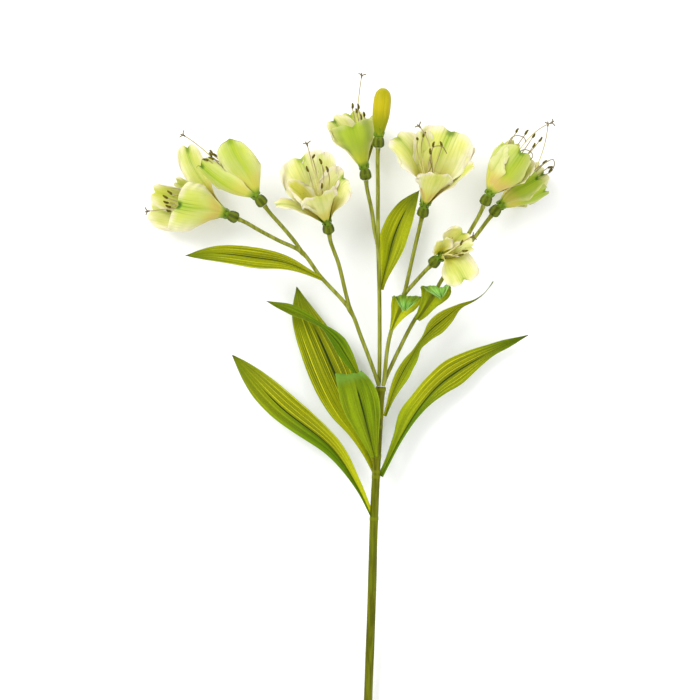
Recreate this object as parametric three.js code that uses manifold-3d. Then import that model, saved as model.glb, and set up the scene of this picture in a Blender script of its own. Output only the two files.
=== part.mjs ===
// A cut alstroemeria stem, laid down: one main stem with six leaves, a collar that four thin rays
// leave, four small leaves on the rays, eight open flowers and a bud.
//
// Millimetres. x runs across the stem, y runs up the stem and z is the height above the table.
// Every place is measured from the middle of the collar's top, except heights, which are measured
// from the table. A flower's own points are measured from its neck, where the tepals meet.
// The whole group is then moved sideways, so that the origin is the middle of its footprint.

import * as THREE from "three";
import { mergeVertices } from "three/addons/utils/BufferGeometryUtils.js";
import Module from "manifold-3d";

const COLLAR_HEIGHT = 30; // the collar's middle above the table, held up by the flowers
const CUT_END = [-13, -347]; // the middle of the cut end
const STEM_RADIUS = 3.5; // at its thickest, low on the stem
const RAY_RADIUS = 1.55;
const GAP = 0.3; // clearance between two pieces that touch
const LEAF_THICKNESS = 0.7;
const TEPAL_THICKNESS = 0.65;
const FILAMENT_RADIUS = 0.5;
const MIDDLE = [-26, -48]; // the middle of the footprint, from the collar

const UP = new THREE.Vector3(0, 0, 1);

// ---------------------------------------------------------------- numbers and vectors

const vec = (a) => new THREE.Vector3(a[0], a[1], a[2]);
const mix = (a, b, t) => a + (b - a) * t;
const ramp = (from, to, x) => THREE.MathUtils.smoothstep(x, from, to);
const radians = THREE.MathUtils.degToRad;

// A value at t, from 0 to 1, of numbers spread evenly along a line.
function along(values, t) {
  const place = THREE.MathUtils.clamp(t, 0, 1) * (values.length - 1);
  const i = Math.min(Math.floor(place), values.length - 2);
  return mix(values[i], values[i + 1], place - i);
}

// As along, but smooth from number to number.
function curveAlong(values, t) {
  const last = values.length - 1;
  const place = THREE.MathUtils.clamp(t, 0, 1) * last;
  const i = Math.min(Math.floor(place), last - 1);
  const w = place - i;
  const before = values[i - 1] ?? 2 * values[0] - values[1];
  const after = values[i + 2] ?? 2 * values[last] - values[last - 1];
  const [a, b] = [values[i], values[i + 1]];
  const bend = (2 * before - 5 * a + 4 * b - after) * w ** 2 + (3 * (a - b) + after - before) * w ** 3;
  return a + ((b - before) * w + bend) / 2;
}

const steps = (n) => Array.from({ length: n + 1 }, (_, i) => i / n);

// ---------------------------------------------------------------- closed meshes and solids

const SLIVER = 1e-3; // corners nearer than this are one

const wasm = await Module();
wasm.setup();

function closedGeometry(points, triangles) {
  const geometry = new THREE.BufferGeometry().setFromPoints(points);
  geometry.setIndex(triangles);
  return geometry;
}

// Joins rings of equally many points into a skin, and closes both ends.
function loft(rings) {
  const n = rings[0].length;
  const points = rings.flat();
  const triangles = [];
  for (let k = 0; k + 1 < rings.length; k++) {
    for (let i = 0; i < n; i++) {
      const a = k * n + i;
      const b = k * n + ((i + 1) % n);
      triangles.push(a, b, a + n, b, b + n, a + n);
    }
  }
  const last = (rings.length - 1) * n;
  for (let i = 1; i + 1 < n; i++) {
    triangles.push(0, i + 1, i);
    triangles.push(last, last + i, last + i + 1);
  }
  return closedGeometry(points, triangles);
}

// A thin blade over the surface place(u, s). Both faces are split into the same triangles.
// Where the blade would dip into the table it lies flat on it.
function blade(place, us, ss, thickness) {
  const step = 1e-3;
  const faces = [[], []];
  for (const u of us) {
    for (const s of ss) {
      const alongBlade = place(u + step, s).sub(place(u - step, s));
      const acrossBlade = place(u, s + step).sub(place(u, s - step));
      const half = alongBlade.cross(acrossBlade).setLength(thickness / 2);
      const pair = [place(u, s).add(half), place(u, s).sub(half)];
      const lift = Math.max(0, -Math.min(pair[0].z, pair[1].z));
      pair.forEach((point, side) => {
        point.z += lift;
        faces[side].push(point);
      });
    }
  }
  const columns = ss.length;
  const count = faces[0].length;
  const triangles = [];
  const edge = (a, b) => triangles.push(a, b, a + count, b, b + count, a + count);
  for (let k = 0; k + 1 < us.length; k++) {
    for (let i = 0; i + 1 < columns; i++) {
      const a = k * columns + i;
      const b = a + columns;
      triangles.push(a, b, b + 1, a, b + 1, a + 1);
      triangles.push(count + a, count + b + 1, count + b, count + a, count + a + 1, count + b + 1);
    }
    edge(k * columns + columns, k * columns);
    edge(k * columns + columns - 1, k * columns + 2 * columns - 1);
  }
  const top = (us.length - 1) * columns;
  for (let i = 0; i + 1 < columns; i++) {
    edge(i, i + 1);
    edge(top + i + 1, top + i);
  }
  return closedGeometry(faces.flat(), triangles);
}

function solid(geometry) {
  const bare = geometry.clone();
  bare.deleteAttribute("normal");
  bare.deleteAttribute("uv");
  const merged = mergeVertices(bare, 1e-4);
  const vertProperties = merged.getAttribute("position").array;
  const triVerts = new Uint32Array(merged.getIndex().array);
  return new wasm.Manifold(new wasm.Mesh({ numProp: 3, vertProperties, triVerts }));
}

// The skin of a body, without the slivers that a cut leaves where two corners all but meet.
function geometryOf(body) {
  const mesh = body.getMesh();
  const geometry = new THREE.BufferGeometry();
  geometry.setAttribute("position", new THREE.BufferAttribute(mesh.vertProperties, 3));
  geometry.setIndex(new THREE.BufferAttribute(mesh.triVerts, 1));
  const merged = mergeVertices(geometry, SLIVER);
  const corners = merged.getIndex().array;
  const triangles = [];
  for (let i = 0; i < corners.length; i += 3) {
    const triangle = Array.from(corners.slice(i, i + 3));
    if (new Set(triangle).size === 3) triangles.push(...triangle);
  }
  return merged.setIndex(triangles);
}

const union = (geometries) => geometries.map(solid).reduce((all, next) => all.add(next));

// The largest loose piece of a cut body.
function largest(body) {
  return body.decompose().reduce((a, b) => (a.volume() > b.volume() ? a : b));
}

// ---------------------------------------------------------------- stalks

// A ring of points round a centre, square to a direction.
function ring(centre, direction, radius, sides, ribs = 0) {
  const side = new THREE.Vector3().crossVectors(UP, direction);
  if (side.lengthSq() < 1e-6) side.set(1, 0, 0);
  side.normalize();
  const other = new THREE.Vector3().crossVectors(direction, side).normalize();
  return Array.from({ length: sides }, (_, i) => {
    const turn = (i / sides) * 2 * Math.PI;
    const reach = radius * (1 + ribs * Math.cos((turn * sides) / 2));
    return centre
      .clone()
      .addScaledVector(side, reach * Math.cos(turn))
      .addScaledVector(other, reach * Math.sin(turn));
  });
}

// A round stalk through points, with a radius that changes evenly from point to point.
function stalk(points, radii, sides, segments, swell = 0) {
  const curve = new THREE.CatmullRomCurve3(points.map(vec), false, "centripetal");
  const rings = steps(segments).map((t) =>
    ring(curve.getPoint(t), curve.getTangent(t), along(radii, t) + swell, sides),
  );
  return loft(rings);
}

// A closed solid of revolution between two points: its profile gives [share of the way, radius].
function turned(from, to, profile, sides) {
  const way = to.clone().sub(from);
  const direction = way.clone().normalize();
  return loft(
    profile.map(([share, radius]) =>
      ring(from.clone().addScaledVector(way, share), direction, radius, sides),
    ),
  );
}

const stemPoints = [
  [...CUT_END, 3.39],
  [-10, -249, 11],
  [-7.2, -170, 17.2],
  [-5.6, -110, 21.6],
  [-3.6, -66, 25.2],
  [-0.8, -11, 29.4],
  [0, 0, COLLAR_HEIGHT],
];
const stemRadii = [0.97, 1, 1, 0.97, 0.92, 0.98, 1.15].map((share) => share * STEM_RADIUS);
const STEM_SIDES = 12;
const STEM_SEGMENTS = 12;

// Each ray is a few branches. The first starts on the collar's flat top and the others inside it.
// A branch ends at the foot of the ovary that it is named for.
const RAY_FOOT = 0.8; // clear of the collar's top, on which the rays stand at a slant
const rays = {
  left: {
    a: [[-1.75, RAY_FOOT, 31.75], [-3.6, 7, 32.2], [-16, 40.3, 33], [-24.8, 61.6, 34],
      [-48.6, 88.6, 37], [-63.2, 107.6, 37], [-82.4, 117.5, 33], [-97, 125.3, 29.6]],
    b: [[-62.8, 107, 37], [-67.6, 114.4, 40], [-76.8, 125.6, 45]],
    c: [[-24.4, 61, 34], [-27.4, 72, 34], [-33.9, 98.6, 33], [-37.3, 108, 32]],
  },
  centre: {
    bud: [[-1.75, RAY_FOOT, 28.25], [-1.3, 7, 28.8], [-1.2, 69.6, 36], [-2.4, 115.2, 42],
      [-2.6, 160, 51.5]],
    d: [[-2.4, 114, 41.8], [-4.6, 122, 41], [-7.4, 140.8, 37]],
  },
  right_inner: {
    f: [[1.75, RAY_FOOT, 31.75], [2.7, 7, 33], [5.6, 33.6, 36], [9.2, 48, 38], [15.2, 61.6, 40],
      [18.8, 75.2, 41], [24.8, 101.6, 38], [28.6, 118, 35.6]],
    i: [[18, 73.5, 41], [26, 82.5, 44.6]],
  },
  right_outer: {
    g: [[1.75, RAY_FOOT, 28.25], [4, 7, 28.1], [15.2, 31.2, 29], [27.7, 54.8, 30],
      [43.2, 75.5, 31.5], [47.2, 83.2, 32.5], [59.2, 103.2, 38], [69, 121, 47.5]],
    h: [[58.6, 102.4, 37.8], [66, 110, 33], [75.6, 120.4, 27.5]],
  },
};
const RAY_SIDES = 6;
const RAY_RUN = 7; // the straight end of a ray under an ovary
const rayRadii = [1, 1.03, 1, 1.05].map((share) => share * RAY_RADIUS);

function rayBody(branches, swell = 0) {
  const stalks = Object.entries(branches).map(([blossom, points]) => {
    const { foot, heading } = ovaryEnds(blossom === "bud" ? bud : flowers[blossom]);
    const end = foot.clone().addScaledVector(heading, -GAP).toArray();
    const before = foot.clone().addScaledVector(heading, -RAY_RUN).toArray();
    return stalk([...points, before, end], rayRadii, RAY_SIDES, points.length + 2, swell);
  });
  return union(stalks);
}

const stem = solid(stalk(stemPoints, stemRadii, STEM_SIDES, STEM_SEGMENTS));
const stemClearance = solid(stalk(stemPoints, stemRadii, STEM_SIDES, STEM_SEGMENTS, GAP));

// ---------------------------------------------------------------- leaves

// A leaf follows its middle line, from where it leaves its stalk to its tip. width is the widest
// blade and widest the share of its length where that is. shape instead gives shares of the width
// from base to tip, and leftReach and rightReach the reach of each half. roll is the turn of the
// blade about its line in degrees, and fold the angle at which each half rises from the midrib.
// A leaf that folds over has a foldLine, along which its blade stays, and a frill at its end.
const leaves = {
  leaf_low_left: {
    on: "stem", leftReach: [2.5, 3.1, 4.6, 6.5, 8.2, 9.4, 10.2, 10.6, 9.8, 6.2, 0.3],
    rightReach: [2.5, 3.3, 5, 7.2, 9.6, 11.8, 13.4, 13.4, 11.2, 6.8, 0.3], roll: [40, 18, 4, 0, 6],
    fold: [40, 30, 16, 10, 12],
    line: [[-7, -106, 22], [-18.6, -80.8, 25], [-38.6, -50.4, 26], [-82, -15, 22], [-120, 25.6, 13]],
    wave: 0.9, waves: 3.2,
  },
  leaf_left_back: {
    on: "stem", leftReach: [2.5, 6, 10.5, 17, 20, 20.5, 19.5, 17, 11.5, 0.4],
    rightReach: [2.5, 4, 7, 11, 14, 15, 13, 9.5, 5, 0.4], roll: [10, 5, 0, -6, -10],
    fold: [35, 18, 10, 10, 14],
    line: [[-5.4, -68, 23], [-11.5, -50, 20], [-22, -24.5, 17], [-37.6, 12.2, 15], [-49.7, 40, 14],
      [-60, 62, 13], [-68, 80.8, 12]],
    wave: 1.0, waves: 3,
  },
  leaf_front: {
    on: "stem", leftReach: [3.7, 6.5, 10.2, 14, 15.5, 15, 13.5],
    rightReach: [3.7, 6.5, 10.2, 14, 15.2, 12.6, 6], roll: [0, 0, 0, 0, 0], fold: [35, 20, 12, 8, 4],
    foldLine: [1, 0.05, 0],
    line: [[-5, -56, 30], [-9.5, -38, 36], [-14.6, -18, 41], [-19.2, -1, 44.5], [-22, 8, 44],
      [-22.8, 10.4, 41], [-22.4, 8.5, 38.5]],
    wave: 0.8, waves: 2, blunt: 0.05, frill: 0.7,
  },
  leaf_left_twisted: {
    on: "stem", width: 17, shape: [0.2, 0.3, 0.34, 0.36, 0.68, 0.72, 0.36, 0.56, 0.46, 0.03],
    roll: [0, 4, 8, 12, 20, 40, 50, 26, 10], fold: [40, 24, 16, 14, 16, 16, 18],
    line: [[-5, -32, 29], [-12, -10, 29.5], [-20, 11.4, 30.5], [-29, 27, 31], [-35.6, 37, 31.5],
      [-48.8, 49.4, 32.5], [-71, 60.8, 32], [-91.8, 68.8, 30]],
    wave: 0.8, waves: 2.5,
  },
  leaf_right_twisted: {
    on: "stem", width: 17,
    shape: [0.18, 0.3, 0.55, 0.8, 0.72, 0.6, 0.85, 1, 0.75, 0.3, 0.1, 0.06, 0.03],
    roll: [0, 10, 20, 34, 66, 34, 6, 0, 20, 40], fold: [35, 24, 20, 16, 14, 14, 20, 24],
    line: [[3, -23.5, 28], [10.6, -2.4, 26], [18.4, 13.6, 24.5], [24.6, 24, 24], [30.4, 34.6, 23.5],
      [39.6, 45.4, 22.5], [52, 55.6, 21.5], [63.4, 64.6, 21], [75, 69.6, 21.5], [83, 75.2, 22],
      [90.6, 84.8, 21]],
    wave: 0.9, waves: 2.6,
  },
  leaf_low_right: {
    on: "stem", leftReach: [2.4, 3.6, 6.5, 12, 11.6, 12.2, 13.4, 11, 7.5, 4.6, 0.4],
    rightReach: [2.4, 2.4, 2.6, 3.4, 5.4, 8.4, 10.6, 7.6, 3.6, 2.2, 0.4], roll: [-16, -10, 0, 6, 14],
    fold: [30, 24, 14, 16, 18],
    line: [[0, -72, 24], [16.6, -40, 21], [34, -13.4, 18], [50, 3.6, 16], [80, 23, 12], [119.6, 41.8, 9]],
    wave: 1.2, waves: 2.4,
  },
  leaf_centre_ray: {
    on: "centre", width: 23, widest: 0.48, roll: [10, 0, -6, -10, -14], fold: [30, 18, 12, 12, 14],
    line: [[-0.6, 78, 34], [5, 100, 30], [11, 122, 26], [20, 142, 24], [31, 158, 24]],
    wave: 0.8, waves: 2,
  },
  leaf_left_ray: {
    on: "left", width: 17, widest: 0.5, roll: [10, -4, -10, -6, 0], fold: [30, 20, 14, 14, 16],
    line: [[-47, 86.4, 38], [-75, 99, 42], [-101, 103.5, 44], [-129, 106.5, 42], [-156.3, 105, 38]],
    wave: 0.9, waves: 3,
  },
  leaf_curled_inner: {
    on: "right_inner", width: 24, shape: [0.16, 0.27, 0.4, 0.56, 0.74, 0.88, 1, 0.98, 0.8, 0.5, 0.12],
    roll: [0, 0, 0, 0, 0], fold: [34, 24, 12, 4, -6], foldLine: [1, -0.05, 0],
    line: [[8.4, 46, 40], [11.5, 54, 43], [15.6, 63, 47.5], [19.4, 70, 52.5], [20.6, 73, 57.5],
      [20, 71, 61], [19, 66, 62.4], [18.4, 60.5, 62]],
    wave: 0.8, waves: 2, frill: 1.5,
  },
  leaf_curled_outer: {
    on: "right_outer", width: 25,
    shape: [0.22, 0.34, 0.44, 0.52, 0.62, 0.78, 0.96, 1, 0.82, 0.5, 0.12], roll: [0, 0, 0, 0, 0],
    fold: [34, 24, 12, 4, -6], foldLine: [1, -0.1, 0],
    line: [[29, 54.5, 32.5], [33.5, 60.5, 36], [38.5, 68.5, 40], [42.6, 76, 44.5], [44.4, 80, 49],
      [45.4, 79, 52.4], [46.8, 75, 53.8], [48, 71, 53.4]],
    wave: 0.8, waves: 2, frill: 1.5,
  },
};
const LEAF_BASE = 0.24; // a leaf's width where it leaves its stalk, as a share of its widest

function leafHalf(leaf, u, s) {
  if (leaf.leftReach) return curveAlong(s > 0 ? leaf.rightReach : leaf.leftReach, u);
  const past = Math.max(0, (u - leaf.widest) / (1 - leaf.widest));
  const share = leaf.shape
    ? curveAlong(leaf.shape, u)
    : mix(LEAF_BASE, 1, ramp(0, leaf.widest, u)) * (1 - past ** 2.4);
  return (leaf.width / 2) * Math.max(share, 0.03);
}

function leafSurface(leaf) {
  const curve = new THREE.CatmullRomCurve3(leaf.line.map(vec), false, "centripetal");
  const length = curve.getLength();
  const frill = leaf.frill ?? 0;
  return (u, s) => {
    const t = THREE.MathUtils.clamp(u, 0.001, 0.999);
    const ahead = curve.getTangentAt(t);
    const centre = curve.getPointAt(t).addScaledVector(ahead, (u - t) * length);
    const across = new THREE.Vector3().crossVectors(ahead, UP);
    if (leaf.foldLine) {
      const foldLine = vec(leaf.foldLine);
      across.copy(foldLine).addScaledVector(ahead, -ahead.dot(foldLine));
    }
    across.normalize().applyAxisAngle(ahead, radians(curveAlong(leaf.roll, u)));
    const above = new THREE.Vector3().crossVectors(across, ahead);
    const half = leafHalf(leaf, u, s);
    const rise = radians(curveAlong(leaf.fold, u));
    const end = ramp(0.55, 1, u);
    const wave = leaf.wave * s * s * ramp(0.1, 0.4, u) * Math.sin((leaf.waves * u + s / 5) * 2 * Math.PI);
    const lift = wave + frill * end * Math.sin(6.6 * s + 0.6);
    const drawn = end * (25 * (leaf.blunt ?? 0) * s * s + 0.55 * frill * (1 + Math.cos(5.4 * s + 1.4)));
    return centre
      .addScaledVector(across, half * s * Math.cos(rise))
      .addScaledVector(above, half * Math.abs(s) * Math.sin(rise) + lift)
      .addScaledVector(ahead, -drawn);
  };
}

const LEAF_ROWS = 9;
const FOLDED_ROWS = 11;
const leafColumns = [-1, -0.5, 0, 0.5, 1];

// ---------------------------------------------------------------- flowers

// Every flower has a neck, an axis that it opens along, the heading of the ovary under it, and its
// tepals, outer and inner by turns. Each tepal is given by its tip from the neck, its width and its
// flare, the angle at which its tip turns away from the axis. It may also name an axis of its own,
// lean, the angle at which it leaves the neck, side, the side of the axis that it stands on, turn,
// the twist of its blade about its own line, hug, how closely it curves round the axis, taper, how
// much narrower it is at its tip, full, the share of its length at which it is widest, round, how
// far its corners fall back as a share of its length, notch, the depth of the notch at its tip,
// skew, how much further one corner reaches than the other, and lift, how far up the flower's axis
// it starts. The stamens are given by their anthers' places, and the style by the point where it
// splits into three.
const flowers = {
  a: {
    neck: [-124.1, 139, 27], axis: [-0.95, 0.28, 0.05], ovary: [-0.9, 0.42, -0.06],
    tepals: [
      { tip: [-40.5, 6.8, 17], axis: [-0.95, 0.3, 0.05], side: [0, 0, 1], width: 43, flare: -5,
        lean: 42, taper: 0, round: 0.08, skew: 1.5 },
      { tip: [-60.5, 18.5, -3], side: [0, 0.35, -0.94], width: 28, flare: 10, taper: 0.1,
        round: 0.3 },
      { tip: [-32, 56.5, -8], width: 20, flare: 70, turn: 75, taper: 0, round: 0.2 },
      { tip: [-42, 27, -3], side: [0, 0.8, -0.6], width: 24, flare: 15 },
      { tip: [-63, 4, -11], side: [0, -0.35, -0.94], width: 36, flare: 5, taper: 0.1, round: 0.3 },
      { tip: [-46.4, 6.4, -30.2], side: [0, 0, -1], width: 26, flare: -4, hug: 0.2 },
    ],
    stamens: [[-46.5, 12, 6], [-46, 8.5, 3], [-44.5, 2, 1], [-43, 15, 9], [-44, 5, 5]],
    style: { split: [-62, 2, 3], heading: [-1, -0.1, 0] },
  },
  b: {
    neck: [-99.4, 152.5, 52], axis: [-0.8, 0.6, 0.05], ovary: [-0.6, 0.8, 0.1],
    tepals: [
      { tip: [-19.5, 42.5, 13], axis: [-0.2, 0.98, 0.05], side: [0, 0, 1], width: 27, flare: -20,
        lean: 35, hug: 0.5, taper: 0, round: 0.4, notch: -1.5 },
      { tip: [-24, 34, -5], side: [0.54, 0.72, -0.4], width: 22, flare: -5, lean: 30 },
      { tip: [-46.5, 24.5, 2], side: [-0.4, -0.53, 0.75], width: 26, flare: -12, lean: 38,
        hug: 0.6, taper: 0.3 },
      { tip: [-40, 24, -6], side: [-0.54, -0.72, -0.4], width: 20, flare: -5, lean: 26 },
      { tip: [-27, 35, -9], side: [0, 0, -1], width: 27.4, flare: -10, lean: 36 },
    ],
    stamens: [[-37.5, 27.5, 1], [-35, 30, 1], [-33, 28, 3], [-31, 30.5, 0], [-34.5, 32, 2]],
    style: { split: [-56.9, 47.1, 2], heading: [-0.85, 0.5, 0] },
  },
  c: {
    neck: [-43.2, 131.7, 40], axis: [-0.25, 0.7, 0.66], ovary: [-0.15, 0.87, 0.42],
    tepals: [
      { tip: [-22, 53, 8], width: 45, flare: 60, taper: 0 },
      { tip: [-6, 56, 11], width: 34, flare: 45, taper: 0.1 },
      { tip: [16, 36, 16], width: 28, flare: 100, turn: 40, hug: 0.1, taper: 0 },
      { tip: [-6, 20, 38], width: 33, flare: 20, taper: 0 },
      { tip: [-42, 12.5, 22], width: 16, flare: 85, hug: 0.2 },
      { tip: [-31, 29, 28], width: 29, flare: 35 },
    ],
    stamens: [[-11.2, 49, 30], [-4, 44.3, 32], [-4, 25, 33], [-14, 38, 36], [1, 38, 30]],
    style: { split: [-15.2, 59, 32], heading: [-0.3, 1, 0] },
  },
  d: {
    neck: [-13.4, 176, 34], axis: [-0.26, 0.96, 0.1], ovary: [-0.12, 1, 0],
    tepals: [
      { tip: [-10.5, 34, 16], width: 42, flare: 12, lean: 36, taper: 0, full: 0.85, round: 0.1 },
      { tip: [5, 37, -1], width: 22, flare: 0 },
      { tip: [3, 42, -13], width: 28, flare: 15 },
      { tip: [-12, 46, -15], width: 30, flare: 15 },
      { tip: [-27, 39, -2], width: 28, flare: 40, turn: -35, taper: 0.1 },
    ],
    stamens: [[-4.6, 46, 3], [-9.5, 46.5, 2], [-6.2, 43, 5], [0, 40, 4], [-2.5, 38, -2]],
    style: { split: [-2.2, 72, 2], heading: [0.15, 1, 0] },
  },
  f: {
    neck: [34.8, 145.3, 42], axis: [0.2, 0.78, 0.6], ovary: [0.2, 0.92, 0.3],
    tepals: [
      { tip: [-25, 54, 14], width: 38, flare: 90, lean: 14, hug: 0.1, taper: 0 },
      { tip: [-2, 59, 12], width: 26, flare: 40 },
      { tip: [22, 60, 6], width: 46, flare: 70, lean: 24, hug: 0.1, taper: 0 },
      { tip: [38, 47, 9], width: 26, flare: 60, lean: 14, hug: 0.1, taper: 0.2 },
      { tip: [39, 31, 22], width: 22, flare: 45, lean: 26, hug: 0.2 },
      { tip: [10, 23, 38], width: 30, flare: 20, taper: 0, full: 0.8 },
    ],
    stamens: [[-6, 49.9, 28], [-2, 52, 26], [5.7, 44, 32], [12.8, 44, 30], [4, 38, 34]],
    style: { split: [-4.6, 59.5, 34], heading: [-0.7, 0.8, 0] },
  },
  g: {
    neck: [85.8, 153.7, 56], axis: [0.58, 0.81, 0.08], ovary: [0.4, 0.9, 0.1],
    tepals: [
      { tip: [26.5, 34.3, 11.6], side: [0.2, -0.1, 1], width: 40, flare: -10, lean: 40, hug: 0.7,
        taper: 0.1 },
      { tip: [31, 26.3, 0], side: [0.8, -0.58, 0.2], width: 22, flare: 5, lean: 32 },
      { tip: [12.6, 40.8, 1], side: [-0.78, 0.56, 0.35], width: 38, flare: -20, lean: 44,
        hug: 0.7, taper: 0.1 },
      { tip: [22, 42, -8], side: [-0.5, 0.36, -0.8], width: 24, flare: 0, lean: 28 },
      { tip: [33, 29.3, -10], side: [0.5, -0.36, -0.8], width: 30, flare: 0, lean: 40 },
    ],
    stamens: [[33.7, 43.9, 4], [38.8, 40.9, 3], [20.8, 47.7, 5], [34, 36.3, 2], [28, 46.3, 2]],
    style: { split: [48, 55.3, 6], heading: [0.95, 0.35, 0] },
  },
  h: {
    neck: [96, 145.8, 22], axis: [0.84, 0.54, 0], ovary: [0.62, 0.78, -0.1],
    tepals: [
      { tip: [38.7, 13, 5], width: 26, flare: 12 },
      { tip: [32, 23, 13], side: [-0.2, 0.3, 0.9], width: 24, flare: 0, lean: 38 },
      { tip: [25, 37, -5], width: 28, flare: 25 },
      { tip: [38, 28, -9], width: 26, flare: 10 },
      { tip: [27, 20, -23.2], side: [0, 0, -1], width: 28, flare: -5, hug: 0.2 },
      { tip: [34, 33, -12], width: 24, flare: 15 },
    ],
    stamens: [[34, 33, 4], [38, 30, 4], [39, 26, 4]],
    style: { split: [38, 64, 6], heading: [0.1, 1, 0] },
  },
  i: {
    neck: [46.4, 103.2, 55], axis: [0.7, 0.35, 0.6], ovary: [0.68, 0.68, 0.3],
    tepals: [
      { tip: [1, 14, 17], axis: [-0.3, 0.45, 0.85], side: [-0.25, 0.8, -0.5], width: 20,
        flare: 10, lean: 20, hug: 0.5, taper: 0.1, lift: 2 },
      { tip: [20, 21, 9], width: 28, flare: 25, turn: -20, taper: 0.1 },
      { tip: [24, 16, 3], width: 18, flare: 20 },
      { tip: [27, 8, 13], width: 16, flare: 40 },
      { tip: [20, -21, 14], width: 29, flare: 85, lean: 12, turn: 50, hug: 0.2, taper: 0,
        round: 0.2 },
    ],
    stamens: [[15.8, 8.8, 20], [17, 4.3, 20], [14, 1, 20]],
    style: { split: [24, 15, 24], heading: [0.9, 0.4, 0.2] },
  },
};
// A tepal's width at its foot, as a share of its widest, and the share of its length where it is full.
const OUTER_CLAW = 0.26;
const INNER_CLAW = 0.2;
const OUTER_FULL = 0.5;
const INNER_FULL = 0.62;
const TEPAL_HUG = 0.4; // 1 follows a circle round the flower's axis, and 0 is flat
const TEPAL_TAPER = 0.2; // the share of its width that its tip loses
const TEPAL_ROUND = 0.26;
const OUTER_LEAN = 36; // degrees
const INNER_LEAN = 24;
const NOTCH = 3.2;
const RECEPTACLE_RADIUS = 2.6;

function tepalSurface(flower, tepal, inner) {
  const axis = vec(tepal.axis ?? flower.axis).normalize();
  const tip = vec(tepal.tip);
  const outward = vec(tepal.side ?? tepal.tip);
  outward.addScaledVector(axis, -outward.dot(axis)).normalize();
  const across = new THREE.Vector3().crossVectors(axis, outward);
  const length = tip.length();
  const foot = outward.clone().multiplyScalar(RECEPTACLE_RADIUS * (inner ? 0.5 : 0.85))
    .addScaledVector(vec(flower.axis).normalize(), tepal.lift ?? 0);
  const turn = radians(tepal.turn ?? 0);
  const taper = tepal.taper ?? TEPAL_TAPER;
  const claw = inner ? INNER_CLAW : OUTER_CLAW;
  const full = tepal.full ?? (inner ? INNER_FULL : OUTER_FULL);
  const heading = (degrees) =>
    axis.clone().multiplyScalar(Math.cos(radians(degrees)))
      .addScaledVector(outward, Math.sin(radians(degrees)));
  const middle = new THREE.CubicBezierCurve3(
    foot,
    foot.clone().addScaledVector(heading(tepal.lean ?? (inner ? INNER_LEAN : OUTER_LEAN)), length * 0.4),
    tip.clone().addScaledVector(heading(tepal.flare), -length * 0.35),
    tip,
  );
  const neck = vec(flower.neck);
  return (u, s) => {
    const wide = mix(claw, 1, ramp(0, full, u)) * (1 - taper * ramp(0.6, 1, u));
    const half = (tepal.width / 2) * wide;
    const corner = 1 - Math.sqrt(Math.max(0, 1 - Math.abs(s) ** 2.6));
    const rounding = (tepal.round ?? TEPAL_ROUND) * length * corner * ramp(0.35, 1, u);
    const cleft = Math.max(0, 1 - Math.abs(s) / 0.36) ** 1.3;
    const notch = (tepal.notch ?? NOTCH) * cleft * ramp(0.8, 1, u);
    const t = u - (rounding + notch) / length;
    const centre = middle.getPoint(t);
    const off = centre.clone().addScaledVector(axis, -centre.dot(axis)).length();
    const hug = mix(0.9, tepal.hug ?? TEPAL_HUG, ramp(0.2, 0.8, u));
    const wrap = Math.min(1.2, (hug * half) / Math.max(off, RECEPTACLE_RADIUS));
    const ahead = middle.getTangent(THREE.MathUtils.clamp(t, 0.001, 0.999));
    const side = across.clone().applyAxisAngle(ahead, turn * ramp(0.1, 0.6, u));
    const inward = new THREE.Vector3().crossVectors(ahead, side).normalize();
    const bend = wrap * s;
    const wave = 0.05 * tepal.width * s * s * ramp(0.4, 1, u) * Math.sin(9 * u + 4 * s + tepal.width);
    return centre
      .addScaledVector(side, (half * Math.sin(bend)) / wrap)
      .addScaledVector(inward, (half * (1 - Math.cos(bend))) / wrap + wave)
      .addScaledVector(ahead, -(tepal.skew ?? 0) * s * ramp(0.35, 1, u))
      .add(neck);
  };
}

const outerRows = [0, 0.3, 0.56, 0.8, 1];
const innerRows = [0, 0.36, 0.74, 1];
const tepalColumns = [-1, -0.66, 0, 0.66, 1];

function tepalBody(flower) {
  const neck = vec(flower.neck);
  const axis = vec(flower.axis).normalize();
  const receptacle = turned(
    neck.clone().addScaledVector(axis, -1.2),
    neck.clone().addScaledVector(axis, 3),
    [[0, RECEPTACLE_RADIUS * 0.5], [0.4, RECEPTACLE_RADIUS], [1, RECEPTACLE_RADIUS]],
    8,
  );
  const blades = flower.tepals.map((tepal, i) => {
    const inner = i % 2 === 1;
    const surface = tepalSurface(flower, tepal, inner);
    return blade(surface, inner ? innerRows : outerRows, tepalColumns, TEPAL_THICKNESS);
  });
  return largest(union([receptacle, ...blades]));
}

// A thin three-sided thread that leaves its foot along the flower's axis and ends at a heading.
function threadRings(foot, axis, end, heading = axis) {
  const reach = end.distanceTo(foot);
  const middle = new THREE.CubicBezierCurve3(
    foot,
    foot.clone().addScaledVector(axis, reach * 0.4),
    end.clone().addScaledVector(heading, -reach * 0.3),
    end,
  );
  return steps(3).map((t) =>
    ring(middle.getPoint(t), middle.getTangent(t), FILAMENT_RADIUS * mix(0.6, 1, ramp(0, 0.3, t)), 3),
  );
}

const ANTHER_LENGTH = 5;
const ANTHER_RADIUS = 1.4;
const anther = [[0.3, 1], [1, 0.5]]; // share of its length, share of its radius
const STIGMA_BRANCH = 4.5;
const KNOB_RADIUS = 1.3; // the foot that the stamens and the style share

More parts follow.
